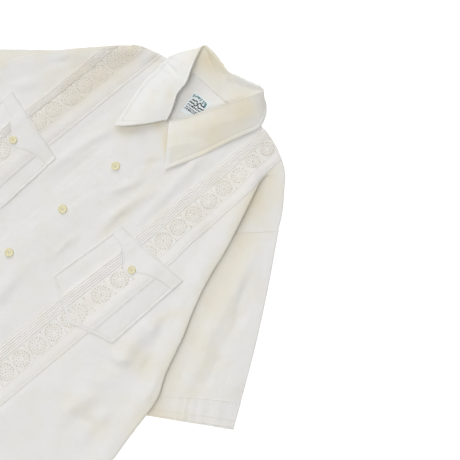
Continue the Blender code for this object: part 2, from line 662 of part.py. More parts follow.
def band_profile(embroidery_points):
    """Distance across the band and height of its face: five pin tucks, embroidery, plain strip."""
    profile = [(0.0, 0.0)]
    for tuck in range(TUCKS):
        profile.append(((tuck + 0.5) * TUCK_PITCH, TUCK_RISE))
        profile.append(((tuck + 1) * TUCK_PITCH, 0.0))
    first, last = EMBROIDERY_FROM + 1.0, EMBROIDERY_TO - 1.0
    for index in range(embroidery_points):
        profile.append((mix(first, last, index / (embroidery_points - 1)), EMBROIDERY_RISE))
    profile += [(EMBROIDERY_TO, 0.0), (EMBROIDERY_TO + 9.0, 0.15), (BAND_WIDTH, 0.0)]
    return profile


def band_out(side, across, y):
    """Distance out of a place on the band; the side fold narrows the plain strip near the shoulder."""
    inner = BAND_INNER[side]
    if side == RIGHT:
        return inner + BAND_WIDTH - across
    if across <= EMBROIDERY_TO:
        return inner + across
    share = (across - EMBROIDERY_TO) / (BAND_WIDTH - EMBROIDERY_TO)
    return mix(inner + EMBROIDERY_TO, band_edge(side, y), share)


def band_top(side, out):
    """Upper end of the band: the shoulder line, or the side fold where that comes first."""
    top = read_table(SHOULDER[side], "out", "y", out) - BAND_SEAM_ALLOWANCE
    if side == RIGHT:
        while edge_out(side, top) < out + ROLL + BAND_FOLD_CLEARANCE + 0.5:
            top -= 1.0
    return top


def make_band(side, name, front, material, parent):
    """Applied band from shoulder to hem.  Its tucks are on the same hand on both fronts."""
    under, over = [], []
    for y, share in front_levels(side):
        lower_line, upper_line = [], []
        for across, rise in band_profile(2):
            place_y = y
            if share is not None:
                place_y = mix(y, band_top(side, band_out(side, across, SIDE_EDGE[LEFT][0].y)), share)
            x = side * band_out(side, across, place_y)
            seat = top_near([front], x, place_y, BAND_REACH) + GAP
            lower_line.append(Vector((x, place_y, seat)))
            upper_line.append(Vector((x, place_y, seat + BAND_WALL + rise)))
        under.append(lower_line)
        over.append(upper_line)
    return skin(Piece(name, material, parent), under, over).finish()


def pocket_point(side, across, depth_share):
    """Place on a pocket: across from its inner to its outer edge, depth from the top edge down."""
    position = depth_share * (len(POCKET) - 1)
    index = min(int(position), len(POCKET) - 2)
    share = position - index
    first, second = POCKET[index], POCKET[index + 1]
    inner = Vector((mix(first.inner_x, second.inner_x, share), mix(first.inner_y, second.inner_y, share)))
    outer = Vector((mix(first.outer_x, second.outer_x, share), mix(first.outer_y, second.outer_y, share)))
    point = mix(first.point, second.point, share)
    place = inner.lerp(outer, across)
    tip = POCKET_POINT_ACROSS
    drop = point * (across / tip if across < tip else (1 - across) / (1 - tip))
    place = place + POCKET_SHIFT[side]
    return Vector((side * place.x, place.y - drop))


def make_pocket(side, name, beneath, material, parent):
    under, over = [], []
    for depth in POCKET_DEPTH:
        line = [pocket_point(side, across, depth) for across in POCKET_ACROSS]
        seats = [top_near(beneath, place.x, place.y, POCKET_REACH) + POCKET_EASE for place in line]
        under.append([Vector((place.x, place.y, seat)) for place, seat in zip(line, seats)])
        over.append([point + upward(POCKET_WALL) for point in under[-1]])
    return skin(Piece(name, material, parent), under, over).finish()


def tab_depth(across):
    """Depth of the pointed facing as a share of the pocket's length."""
    return read_table(TAB, "across", "depth", across) / POCKET_LENGTH


def make_tab(side, name, pocket, material, parent):
    """Pointed facing across the top of a pocket."""
    under, over = [], []
    for share in (0.0, 0.33, 0.67, 1.0):
        places = [pocket_point(side, across, share * tab_depth(across)) for across in TAB_ACROSS]
        seats = [top_near([pocket], place.x, place.y, TAB_REACH) + GAP for place in places]
        under.append([Vector((place.x, place.y, seat)) for place, seat in zip(places, seats)])
        over.append([point + upward(TAB_WALL) for point in under[-1]])
    return skin(Piece(name, material, parent), under, over).finish()


def make_pocket_band(side, name, pocket, material, parent):
    """The pocket's own stretch of band, in line with the front's, from the pointed facing down."""
    centre = BAND_INNER[side] + BAND_WIDTH / 2
    pocket_width = POCKET[0].outer_x - POCKET[0].inner_x
    under, over = [], []
    for share in (0.0, 0.2, 0.4, 0.6, 0.8, 1.0):
        lower_line, upper_line = [], []
        for distance, rise in band_profile(7):
            out = centre - BAND_WIDTH / 2 + (distance if side == LEFT else BAND_WIDTH - distance)
            across = (out - POCKET[0].inner_x - POCKET_SHIFT[side].x + 4.0) / (pocket_width + 6.0)
            top_depth = tab_depth(across) + POCKET_BAND_ENDS[0]
            place = pocket_point(side, across, mix(top_depth, POCKET_BAND_ENDS[1], share))
            seat = top_near([pocket], place.x, place.y, POCKET_BAND_REACH) + GAP
            lower_line.append(Vector((place.x, place.y, seat)))
            upper_line.append(Vector((place.x, place.y, seat + BAND_WALL + rise)))
        under.append(lower_line)
        over.append(upper_line)
    return skin(Piece(name, material, parent), under, over).finish()


def make_button(name, x, y, diameter, beneath, material, parent):
    """Turned shell button: flat back, raised rim and a shallow dish."""
    radius = diameter / 2
    seat = top_near(beneath, x, y, radius * 0.75) + GAP
    dish_out, floor = radius - BUTTON_RIM, BUTTON_THICK - BUTTON_DISH
    profile = [(0.0, 0.0), (radius * 0.82, 0.0), (radius, 0.7), (radius, BUTTON_THICK - BUTTON_EDGE),
               (radius - BUTTON_EDGE, BUTTON_THICK), (dish_out, BUTTON_THICK),
               (dish_out - BUTTON_DISH, floor), (0.0, floor)]
    piece = Piece(name, material, parent)
    rings = []
    for distance, height in profile:
        if distance == 0.0:
            rings.append([piece.mesh.verts.new((x, y, seat + height))])
            continue
        ring = []
        for index in range(BUTTON_SIDES):
            angle = 2 * math.pi * index / BUTTON_SIDES
            ring.append(piece.mesh.verts.new((x + distance * math.cos(angle), y + distance * math.sin(angle),
                                              seat + height)))
        rings.append(ring)
    for first, second in zip(rings, rings[1:]):
        for index in range(BUTTON_SIDES):
            after = (index + 1) % BUTTON_SIDES
            if len(first) == 1:
                piece.mesh.faces.new([first[0], second[after], second[index]])
            elif len(second) == 1:
                piece.mesh.faces.new([first[index], first[after], second[0]])
            else:
                piece.mesh.faces.new([first[index], first[after], second[after], second[index]])
    return piece.finish()


def collar_section(station):
    """Mid-cloth points across the collar: stand, roll and leaf."""
    seam = Vector((station.nx, station.ny, station.nz))
    roll = Vector((station.rx, station.ry, station.rz))
    edge = Vector((station.ex, station.ey, station.ez))
    outward = Vector((edge.x - roll.x, edge.y - roll.y, 0)).normalized()
    fall = min(1.0, (edge - roll).length / 30)
    crest_in = roll - outward * 0.2 - upward(1.3)
    crest = roll + outward * 0.9
    crest_out = roll + outward * 2.3 * fall - upward(0.9)
    sway = Vector((outward.y, -outward.x, 0)) * station.sway
    hang = (edge.z - crest_out.z) / max(1.0, (edge - crest_out).length)
    belly = upward(2.4) * (1 + hang) if hang > -0.6 else upward(0)
    third = crest_out.lerp(edge, 0.33) + belly * 0.9 - sway * 0.8
    two_thirds = crest_out.lerp(edge, 0.68) + belly * 0.7 - sway
    low_seam = seam.lerp(crest_in, 0.5) - outward * 0.6
    return [seam, low_seam, crest_in, crest, crest_out, third, two_thirds, edge]


def make_collar(material, parent):
    middle = [collar_section(station) for station in COLLAR]
    under, over = walls(middle, COLLAR_WALL)
    for line in under + over:
        for index, point in enumerate(line):
            line[index] = Vector((point.x, point.y, max(0.0, point.z)))
    return skin(Piece("collar", material, parent), under, over).finish()


def make_label(back, material, parent):
    width, depth = LABEL_SIZE
    centre_x, centre_y = LABEL_CENTRE
    under, over = [], []
    for share_y in (-0.5, 0.0, 0.5):
        line = []
        for share_x in (-0.5, 0.0, 0.5):
            x, y = centre_x + share_x * width, centre_y + share_y * depth
            line.append(Vector((x, y, back.top_at(x, y) + GAP)))
        under.append(line)
        over.append([point + upward(LABEL_WALL) for point in line])
    return skin(Piece("neck_label", material, parent), under, over).finish()


def cloth(name, colour, roughness):
    material = bpy.data.materials.new(name)
    material.use_nodes = True
    shader = material.node_tree.nodes["Principled BSDF"]
    shader.inputs["Base Color"].default_value = (*colour, 1.0)
    shader.inputs["Roughness"].default_value = roughness
    shader.inputs["Metallic"].default_value = 0.0
    return material


def build_shirt():
    for thing in list(bpy.data.objects):
        bpy.data.objects.remove(thing, do_unlink=True)
    shirt = bpy.data.objects.new("shirt", None)
    bpy.context.collection.objects.link(shirt)

    body_cloth = cloth("cream_cotton", CREAM, 0.85)
    collar_cloth = cloth("aged_cream_cotton", AGED_CREAM, 0.85)
    band_cloth = cloth("tucked_eyelet_band", BAND_CREAM, 0.85)
    label_cloth = cloth("woven_label", LABEL_GREY, 0.7)
    shell = cloth("shell_button", SHELL_YELLOW, 0.35)

    back = make_back(body_cloth, shirt)
    make_sleeve(LEFT, "sleeve_left", body_cloth, shirt)
    make_sleeve(RIGHT, "sleeve_right", body_cloth, shirt)
    fronts, bands = {}, {}
    for side, hand in ((RIGHT, "right"), (LEFT, "left")):
        fronts[side] = make_front(side, "front_" + hand, body_cloth, shirt)
        bands[side] = make_band(side, "band_" + hand, fronts[side], band_cloth, shirt)
        pocket = make_pocket(side, "pocket_" + hand, [fronts[side], bands[side]], body_cloth, shirt)
        tab = make_tab(side, "pocket_tab_" + hand, pocket, body_cloth, shirt)
        make_pocket_band(side, "pocket_band_" + hand, pocket, band_cloth, shirt)
        place = POCKET_BUTTON + POCKET_SHIFT[side]
        make_button("pocket_button_" + hand, side * place.x, place.y, POCKET_BUTTON_D, [tab], shell, shirt)
    for index in range(BUTTON_COUNT):
        y = BUTTON_TOP_Y - index * BUTTON_PITCH
        make_button("front_button_%d" % (index + 1), BUTTON_X, y, BUTTON_D, [fronts[LEFT]], shell, shirt)
    make_label(back, label_cloth, shirt)
    make_collar(collar_cloth, shirt)


build_shirt()
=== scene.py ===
"""Looks of a short-sleeved guayabera shirt, buttoned and laid flat on its back.

Every table is in millimetres from the neck notch, where the two collar leaves meet: x towards the
wearer's left, y towards the collar, z up from the floor.  "out" is a distance from the centre line
towards one side.  Each piece of cloth is a grid of points on its face, closed into a thin shell.
"""
import math
import random
from collections import namedtuple

import bpy
import numpy as np
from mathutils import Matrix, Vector
from mathutils.bvhtree import BVHTree


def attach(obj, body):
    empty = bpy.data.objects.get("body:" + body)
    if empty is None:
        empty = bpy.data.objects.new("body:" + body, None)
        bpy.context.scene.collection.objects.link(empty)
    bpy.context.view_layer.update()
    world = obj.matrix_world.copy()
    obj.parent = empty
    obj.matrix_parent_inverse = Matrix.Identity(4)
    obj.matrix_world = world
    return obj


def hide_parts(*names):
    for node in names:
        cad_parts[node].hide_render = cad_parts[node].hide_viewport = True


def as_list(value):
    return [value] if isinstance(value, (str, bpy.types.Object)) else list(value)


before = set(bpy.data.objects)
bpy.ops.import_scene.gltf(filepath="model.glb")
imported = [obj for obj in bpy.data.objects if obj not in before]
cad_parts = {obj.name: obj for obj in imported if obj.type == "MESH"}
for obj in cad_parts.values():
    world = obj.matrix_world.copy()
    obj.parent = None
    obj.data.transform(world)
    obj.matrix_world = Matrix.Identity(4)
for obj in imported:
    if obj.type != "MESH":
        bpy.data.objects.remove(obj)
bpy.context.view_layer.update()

MM = 0.001
NOTCH = np.array([0.0, 200.0, 0.0])
LEFT, RIGHT = 1, -1
HAND = {LEFT: "left", RIGHT: "right"}

# Cloth, and the layers it lies in
CLOTH, APPLIED_CLOTH = 0.6, 0.5
COLLAR_THICK, COLLAR_COLUMNS = 1.3, 64
LOWEST = np.array([-np.inf, -np.inf, 0.0])
FRONT_FACE, FRONT_LOFT = 2.35, 0.8
LOFT_FADE, CARRY_FADE = 30.0, 45.0
HEM_Y = -660.0
PLACKET_OUT, PLACKET_LIFT = 18.0, 1.8
PLACKET_LIFT_FROM, PLACKET_LIFT_FADE = 56.0, 34.0

# Grid of a front, and the two rounds of its folded edge
FRONT_COLUMNS, EDGE_STEPS, PLEAT_STEPS, LOWER_COLUMNS = 100, 8, 5, 18
EDGE_ROLL, EDGE_REACH, PLEAT_ROLL = 1.8, 2.3 * 1.8, 0.55

# Band: five pin tucks, a strip of eyelet embroidery and a plain strip
TUCKS, TUCK_RISE = 5, 0.95
WHEEL_PITCH = 26.2

# Buttons and label
BUTTON_D, POCKET_BUTTON_D = 11.8, 10.4
BUTTON_X, BUTTON_TOP_Y, BUTTON_PITCH, BUTTON_COUNT = 2.0, -91.7, 89.1, 6
LABEL_SIZE, LABEL_CENTRE, LABEL_TURN = (28.0, 32.0), (7.0, 42.0), 13.0

# Each sheet's name, flat width and length, share filled, and the sheets it rests on
SHEETS = """
back_cloth 600 770 0.75
sleeve_left_cloth 460 252 0.65 back_cloth
front_left_cloth 415 760 0.695 back_cloth sleeve_left_cloth front_right_cloth
band_left_cloth 68.5 756 0.955 front_left_cloth
pocket_left_cloth 120 130 0.945 front_left_cloth band_left_cloth
pocket_facing_left 110 42 0.63 pocket_left_cloth
pocket_band_left_cloth 72.5 118 0.78 pocket_left_cloth
sleeve_right_cloth 410 252 0.65 back_cloth
front_right_cloth 390 735 0.715 back_cloth sleeve_right_cloth
band_right_cloth 73 722 0.955 front_right_cloth
pocket_right_cloth 120 130 0.945 front_right_cloth band_right_cloth
pocket_facing_right 110 42 0.63 pocket_right_cloth
pocket_band_right_cloth 77 118 0.78 pocket_right_cloth
collar_cloth 440 80 0.67 back_cloth front_left_cloth front_right_cloth
neck_label_satin 28 32 1 back_cloth
"""


def table(columns, text):
    """Rows of numbers under named columns, with a bar between rows."""
    row = namedtuple("Row", columns)
    return [row(*map(float, numbers.split())) for numbers in text.split("|")]


BAND = "inner width tucks_from tuck_pitch embroidery_from embroidery_to first_wheel"
SIDE = "y out turn_under lift_reach lift"
CREASE = "x0 y0 x1 y1 bend width rise"
STAIN = "x y long wide turn strength"
POCKET_ROW = "inner_x inner_y outer_x outer_y point"
STATION = "nx ny nz rx ry rz ex ey ez sway"

# Each band from its edge at the viewer's left, and its narrowing towards the shoulder
BANDS = dict(zip(HAND, table(BAND, "89 61.5 2.1 3 18.9 44.1 -108.5 | 74.5 61 1.2 2.4 12.8 38 -104")))
BAND_SHARES = {
    LEFT: [(-660, 1), (-125, 1), (-86, 0.945), (-32, 0.925), (20, 0.9), (50, 0.8), (88, 0.76)],
    RIGHT: [(-660, 1), (60, 0.97)],
}

# Shoulder line of each side as (out, y), from the neck outwards
SHOULDER = {
    LEFT: [(47, 83.5), (62, 86.5), (86.9, 88.6), (107.5, 87.1), (132.4, 80.4), (152.5, 70.3), (166.3, 57.1),
           (192.8, 29), (204.1, 12.8)],
    RIGHT: [(42, 63.5), (58, 59), (74.6, 53.8), (98.6, 42.6), (112.6, 33.3)],
}

# Edge of each front: the fold that lies over the sleeve, then the body's side down to the hem
SIDE_EDGE = {
    LEFT: table(SIDE, """
        77.5 138.6 -7 10 0 | 68 139.2 -7 10 0.3 | 59.5 140 -6 12 1.2 | 49.5 140.4 3.5 13 2.8 |
        39.4 142 5.5 15 2.8 | 23 149 9 19 2.8 | 7.2 156 13 25 2.8 | -20.1 167.8 21 35 2.8 |
        -63.3 185.3 36 48 2.8 | -83 191.6 33 51 2.8 | -105.3 200 28 55 2.8 | -145.1 219 23 69 2.8 |
        -170 233 20 84 2.8 | -188.7 241.5 17 93 2.8 | -218.8 255.5 13 105 2.8 | -246.2 272.3 10 117 2.8 |
        -269.2 278.6 9 117 2.8 | -301.3 285.7 9 114 2.8 | -337.3 294.5 9 112 2.8 | -372 300.7 9 105 1.6 |
        -420 305.6 9 90 0 | -520 308.4 9 90 0 | -660 309 9 90 0"""),
    RIGHT: table(SIDE, """
        33.3 112.6 10 10 0 | 20.1 123.9 12 14 0 | -2.2 138.9 12 24 2.4 | -34.7 162.4 12 36 2.8 |
        -61 180.9 16 56 2.8 | -105.3 204.5 20 86 2.8 | -145.1 223 20 112 2.8 | -188.7 245.5 16 138 2.8 |
        -218.8 261 12 152 2.8 | -246.2 271.5 10 160 2.8 | -269.2 276.5 9 160 2.8 | -301.3 283 9 160 2.8 |
        -337.3 290.5 9 155 2.8 | -372 296 9 150 2.8 | -420 300.5 9 130 0 | -520 304 9 120 0 |
        -660 305.5 9 120 0"""),
}

# Armhole seam of each sleeve as (y, out), and the two ends of each cuff as (out, y)
ARMHOLE = {
    LEFT: [(12.8, 204.1), (-8.6, 187.9), (-30, 171.7), (-50, 163.5), (-75, 159), (-105, 158), (-140, 162),
           (-180, 171), (-225, 181)],
    RIGHT: [(-22, 148), (-45, 140), (-75, 134), (-105, 131), (-140, 130), (-180, 132), (-225, 136)],
}
CUFF = {LEFT: ((220, -318.6), (361.2, -200)), RIGHT: ((174, -350), (320, -228))}

# Front neckline as (y, out), and the top of the back as (x, y)
NECKLINE = {
    LEFT: [(-11, -18), (-5, -4), (10, 15), (24, 24.5), (50, 35.5), (70, 43.5), (83.5, 47)],
    RIGHT: [(-11, -18), (-5, -4), (10, 14), (31, 26.5), (45, 32), (56, 38), (63.5, 42)],
}
BACK_TOP = [(-100, 41), (-98.6, 42.6), (-74.6, 53.8), (-42, 63.5), (-24.4, 68), (0, 71), (24.9, 73.8),
            *SHOULDER[LEFT]]
TOP_FROM = {LEFT: -30, RIGHT: -61}
LOWER_LAYER_FROM_Y = -76

# Creases: ridges rise, troughs sink; bend bows the line sideways
FRONT_CREASES = {
    LEFT: table(CREASE, """
        63 22 79 -120 0 7 1.3 | 86 44 88 -118 0 4.5 -0.5 | 62 -62 52 -158 3 8 1.7 |
        38 -74 24 -118 -2 5 1.2 | 33 -42 22 -80 2 5 -0.8 | 10 -122 3 -176 2 3 -0.5 |
        42 -182 43 -232 2 4 0.7 | 190 -180 214 -262 4 11 2.2 | 203 -122 220 -212 -3 8 -0.9 |
        252 -217 268 -262 3 8 1.6 | 188 -256 216 -238 4 5 1.2 | 168 -272 218 -253 3 6 -1.1 |
        183 -300 220 -279 3 7 1.3 | 211 -344 255 -326 -3 7 -1.2 | 216 -300 214 -362 3 12 2.2 |
        246 -300 250 -352 3 10 1.7 | 196 -166 204 -200 3 5 1 | 232 -238 226 -208 2 5 -0.9 |
        278 -266 284 -302 2 5 -0.8 | 120 -300 170 -420 6 20 2 | 60 -330 90 -470 5 16 1.8 |
        30 -262 46 -330 3 8 1 | 96 -292 118 -342 3 6 0.9 | 210 -440 236 -560 6 18 2.2 |
        120 -520 150 -640 6 16 1.9 | 262 -420 268 -500 4 10 -1.1 | 36 -500 52 -590 4 11 1.2 |
        180 -590 262 -632 5 9 1.1"""),
    RIGHT: table(CREASE, """
        -64 50 -84 36 1 3.2 -1.3 | -41 -58 -51 -170 3 7 1.7 | -30 -74 -29 -186 1 4 -0.7 |
        -68 34 -77 -55 3 4 0.6 | -60 -20 -64 -120 2 6 -0.6 | -150 -60 -176 -140 -4 9 1.2 |
        -168 -70 -150 -40 3 5 -0.9 | -136 -98 -133 -64 2 4 -0.6 | -196 -250 -206 -350 4 13 2.2 |
        -58 -196 -48 -260 3 9 1.2 | -60 -300 -84 -440 5 17 2 | -140 -420 -176 -560 6 19 2.1 |
        -238 -430 -246 -560 5 14 1.9 | -100 -560 -70 -640 4 11 1.3 | -210 -300 -262 -330 4 7 -1"""),
}
SLEEVE_CREASES = {
    LEFT: table(CREASE, """
        229 -61 268 -118 -4 9 -2.4 | 266 -112 300 -206 4 10 -1 | 236 -78 258 -170 3 10 1.1 |
        196 -26 236 -80 4 9 1.3 | 318 -148 344 -196 3 10 1.3 | 283 -150 300 -190 2 5 -0.9 |
        244 -196 262 -248 3 8 1"""),
    RIGHT: table(CREASE, """
        -226 -110 -268 -214 5 9 1.8 | -284 -176 -304 -224 4 9 -1.4 | -186 -80 -240 -160 4 8 -1.2 |
        -196 -200 -230 -280 4 9 1.3"""),
}

# Pocket of the wearer's left front, from its top edge down, and the depth of its pointed facing
POCKET = table(POCKET_ROW, """
        68.8 -137.4 177.2 -123.8 0 | 67.4 -158 177.8 -146 0 | 66 -180 178.5 -170 0 |
        64.2 -204 179.2 -196 0 | 62.6 -228 180.1 -224 0 | 61.4 -246.4 180.8 -244.3 23.4""")
POCKET_LENGTH = 110
POCKET_POINT_ACROSS = 0.52
FACING = [(0, 17), (0.17, 20.5), (0.31, 29), (0.475, 41.5), (0.65, 28), (0.8, 21.5), (1, 18)]
POCKET_SHIFT = {LEFT: (0, 0), RIGHT: (-11.7, -6.4)}
POCKET_BUTTON = (123.5, -164.8)

# Collar from the wearer's right point round the neck to the left: seam (n), roll (r), leaf edge (e)
COLLAR = table(STATION, """
        -3.5 -3 6.4 -2 0.5 10.5 -41.4 -57.7 10 3.6 | -8 6 6 -5.5 9 12 -48 -38 8.6 2.6 |
        -16.5 17 4.8 -11.5 20 14.2 -54.5 -18 7.8 1.2 | -26 31 4.4 -18.7 31.6 16.5 -60.8 0.5 7.4 0 |
        -29.5 40 4.4 -20.8 41.5 18.4 -64.6 18 7 0 | -33 48.5 4.4 -22.5 50.5 20 -65.6 35 6.8 0 |
        -37 56 4.2 -30 64 21.5 -68 49.5 6.6 0 | -39.5 61 4 -36.5 76 22 -67 64 5.2 0 |
        -37.5 66 3 -42 88 22 -61.5 79.5 3.2 0 | -33 69 2.2 -45.7 101 20.5 -51.5 95.5 2.2 0 |
        -26 70.5 1.9 -37 103.5 19.5 -38 90 0.9 0 | -14 72 1.9 -18 103.8 18 -18 81 0.9 0 |
        0 73.4 1.9 2.7 103.5 17.5 2 80 0.9 0 | 14 75 1.9 22.9 110.4 20 20 84 0.9 0 |
        25 76.6 2 39 116.5 22 38 95 0.9 0 | 34 80.5 2.6 51.6 120.6 22 58.2 115.2 2 0 |
        40 81.5 4 50 110.6 22.3 72.6 107.8 4.2 0 | 43 78 4.4 46 99 22.3 81 96.5 6.6 0 |
        42.5 70 4.4 40.6 84.8 21.6 84.4 84.5 7.2 0 | 39 60 4.4 34.6 70.5 20 79.6 66 7.2 0 |
        34.6 49.5 4.4 28.5 56 18 74.4 47 7 0 | 29.5 37.5 4.4 22.3 41.5 16 70.6 30 7 0 |
        23.5 25.5 4.6 16.1 27 14 66 12 7 0 | 15 11.5 6.2 9.5 13.8 12 59 -12 7.2 0 |
        4.5 -2 6.4 2 0.5 10.5 48.1 -45.6 7.6 0""")

# Where the cotton has yellowed with age.  A few patches are painted shade instead: at the top of the fold
# over the sleeve (146, 48 and 146, 52), and in the crease by the right band's top (-76, 44, in both the
# first and the band table).
STAINS_AND_SHADE = table(STAIN, """
        154 30 44 24 -60 0.45 | 146 52 20 10 -60 0.1 | 205 -62 60 22 -62 0.25 | 262 -150 90 28 -66 0.17 |
        300 -262 44 22 40 0.35 | -30 -36 34 10 60 0.4 | 60 -110 44 6 -80 0.25 | 30 -60 34 7 -75 0.2 |
        -76 44 14 7 -10 0.3 | -134 -66 44 20 -80 0.3 | -230 -180 50 26 60 0.4 | -120 20 34 18 30 0.4 |
        236 -228 26 14 40 0.28 | 206 -230 20 12 20 0.35 | 230 -330 50 22 10 0.2 | -60 -480 70 40 20 0.25 |
        150 -560 80 40 -10 0.25 | 199 -170 22 9 75 0.35 | 58 -138 30 6 -80 0.25 | -8 -11 16 7 -30 0.65 |
        24 -22 28 5 -38 0.8 | -23 -49 15 7 55 0.35 | 146 48 13 5 -60 0.15 | 292 -205 40 8 -70 0.12""")
BAND_STAINS_AND_SHADE = table(STAIN, """
        -124 -56 40 12 -80 0.35 | -104 16 46 14 -75 0.5 | -106 -40 50 12 -80 0.5 | -76 44 16 8 -10 0.4 |
        118 -60 60 10 85 0.2 | 112 20 40 12 85 0.2 | 122 -230 40 10 85 0.2 | -108 -140 50 12 85 0.3""")
COLLAR_STAINS = table(STAIN, """
        34 14 66 40 -60 0.34 | 52 60 50 30 -70 0.22 | 64 34 60 24 -75 0.2 | -28 95 30 17 5 0.72 |
        58 90 18 14 -60 0.5 | -24 24 14 6 -50 0.3 | -34 2 14 5 -30 0.15""")
COLLAR_CREASES = table(CREASE, """
        -72 50.5 -20 53 3 3 -3 | -72 45.5 -18 48 3 3 1.8 | -58 34 -28 27 -2 4 0.8 | -52 8 -20 16 3 4 -1 |
        -66 -24 -34 -8 3 5 0.7 | 22 -24 44 4 3 5 0.7 | 30 -4 54 20 -3 4 -0.6 | 36 34 58 66 2 5 0.6 |
        -8 100 16 84 2 4 0.9 | -34 104 -16 80 2 5 -0.9 | 2 108 12 80 2 3 1.4""")


def smooth(value):
    """Ease from 0 to 1 with level ends."""
    value = np.clip(value, 0.0, 1.0)
    return value * value * (3 - 2 * value)


def mix(a, b, share):
    return a + (b - a) * share


def grid(*values):
    """Grid of points from their separate coordinates."""
    return np.stack(np.broadcast_arrays(*values), axis=2)


def unit(vectors):
    return vectors / np.maximum(np.linalg.norm(vectors, axis=-1, keepdims=True), 1e-9)


def distances(rows):
    """Distance of each point along its row."""
    steps = np.linalg.norm(np.diff(rows, axis=1), axis=2)
    return np.cumsum(np.pad(steps, ((0, 0), (1, 0))), axis=1)


class Line:
    """A smooth line through (at, value) pairs that never swings past them."""

    def __init__(self, pairs):
        self.at, self.value = np.array(sorted(pairs), float).T
        slope = np.diff(self.value) / np.diff(self.at)
        before, after = slope[:-1], slope[1:]
        same_way = before * after > 0
        self.tangent = np.zeros(len(self.at))
        self.tangent[[0, -1]] = slope[[0, -1]]
        self.tangent[1:-1][same_way] = (2 * before * after)[same_way] / (before + after)[same_way]

    def __call__(self, at):
        at = np.clip(np.asarray(at, float), self.at[0], self.at[-1])
        index = np.clip(np.searchsorted(self.at, at, side="right") - 1, 0, len(self.at) - 2)
        width = self.at[index + 1] - self.at[index]
        share = (at - self.at[index]) / width
        rise = mix(self.value[index], self.value[index + 1], smooth(share))
        bend = (1 - share) * self.tangent[index] - share * self.tangent[index + 1]
        return rise + width * share * (1 - share) * bend


EDGE, TURN_UNDER, LIFT_REACH, LIFT = (
    {side: Line([(row.y, getattr(row, column)) for row in SIDE_EDGE[side]]) for side in HAND}
    for column in ("out", "turn_under", "lift_reach", "lift"))
NECK_OUT, SHOULDER_Y, ARM_OUT, BAND_SHARE = (
    {side: Line(pairs[side]) for side in HAND} for pairs in (NECKLINE, SHOULDER, ARMHOLE, BAND_SHARES))
BACK_TOP_Y, FACING_DEPTH = Line(BACK_TOP), Line(FACING)


def srgb(hexadecimal):
    """Linear colour of an sRGB hex value."""
    channels = [int(hexadecimal[index:index + 2], 16) / 255 for index in (0, 2, 4)]
    linear = [value / 12.92 if value <= 0.04045 else ((value + 0.055) / 1.055) ** 2.4 for value in channels]
    return (*linear, 1.0)


def feed(node, inputs):
    """Set a node's inputs: each takes a value, a socket, a node's first output, or a list of these."""
    for name, value in inputs.items():
        for source in value if isinstance(value, list) else [value]:
            if isinstance(source, bpy.types.Node):
                source = next(socket for socket in source.outputs if socket.enabled)
            if isinstance(source, bpy.types.NodeSocket):
                node.id_data.links.new(source, node.inputs[name])
            else:
                node.inputs[name].default_value = source
    return node


def add(tree, kind, inputs=None, **settings):
    """Add a node with its settings and its inputs."""
    node = tree.nodes.new(kind)
    for name, value in settings.items():
        setattr(node, name, value)
    return feed(node, inputs or {})


def new_material(name, sockets):
    material = bpy.data.materials.new(name)
    material.use_nodes = True
    return material, material.node_tree, feed(material.node_tree.nodes["Principled BSDF"], sockets)


def cotton(name, fresh, aged_and_fold_shade, weave_mm, weave_depth, mottle=0.5, roughness=0.88):
    """Woven cloth: fresh to yellowed colour, soft slubs, and a weave bump in its threads' own millimetres.
    The yellowed colour is also painted as shade along the fold over the sleeve.

    Fine poplin has a thread every 0.25 mm.  The weave is drawn at 0.8 to 0.9 mm, so that it shows.
    """
    material, tree, shader = new_material(name, {"Roughness": roughness, "Sheen Weight": 0.12,
                                                 "Sheen Roughness": 0.5, "Specular IOR Level": 0.25})
    place = add(tree, "ShaderNodeTexCoord").outputs["Object"]
    threads = add(tree, "ShaderNodeUVMap", uv_map="threads")
    blotch = add(tree, "ShaderNodeTexNoise", {"Vector": place, "Scale": 38.0, "Detail": 4.0})
    spread = add(tree, "ShaderNodeMapRange", {"Value": blotch, "From Min": 0.35, "From Max": 0.7,
                                              "To Min": -0.12 * mottle, "To Max": 0.3 * mottle})
    age_and_shade_share = add(tree, "ShaderNodeAttribute", attribute_name="aged_and_fold_shade").outputs["Fac"]
    total = add(tree, "ShaderNodeMath", {0: age_and_shade_share, 1: spread}, operation="ADD", use_clamp=True)
    colour = add(tree, "ShaderNodeMix", data_type="RGBA")
    feed(colour, {"Factor": total, "A": srgb(fresh), "B": srgb(aged_and_fold_shade)})
    slub_place = add(tree, "ShaderNodeMapping", {"Vector": threads, "Scale": (0.55, 0.09, 1.0)})
    slubs = add(tree, "ShaderNodeTexNoise", {"Vector": slub_place, "Scale": 1.0, "Detail": 3.0})
    slub_shade = add(tree, "ShaderNodeMapRange", {"Value": slubs, "From Min": 0.3, "From Max": 0.7,
                                                  "To Min": 0.98, "To Max": 1.01})
    shaded = add(tree, "ShaderNodeMix", data_type="RGBA", blend_type="MULTIPLY")
    feed(shaded, {"Factor": 1.0, "A": colour, "B": slub_shade})
    waves = {}
    for index, run in enumerate(add(tree, "ShaderNodeSeparateXYZ", {"Vector": threads}).outputs[:2]):
        turns = add(tree, "ShaderNodeMath", {0: run, 1: 2 * math.pi / weave_mm}, operation="MULTIPLY")
        waves[index] = add(tree, "ShaderNodeMath", {0: turns}, operation="SINE")
    weave = add(tree, "ShaderNodeMath", waves, operation="MULTIPLY")
    weave_bump = add(tree, "ShaderNodeBump", {"Height": weave, "Strength": weave_depth, "Distance": 0.0002})
    crumple = add(tree, "ShaderNodeTexNoise", {"Vector": place, "Scale": 120.0, "Detail": 3.0,
                                               "Roughness": 0.55})
    bump = add(tree, "ShaderNodeBump", {"Height": crumple, "Normal": weave_bump, "Strength": 0.35,
                                        "Distance": 0.0008})
    feed(shader, {"Base Color": shaded, "Normal": bump})
    return material


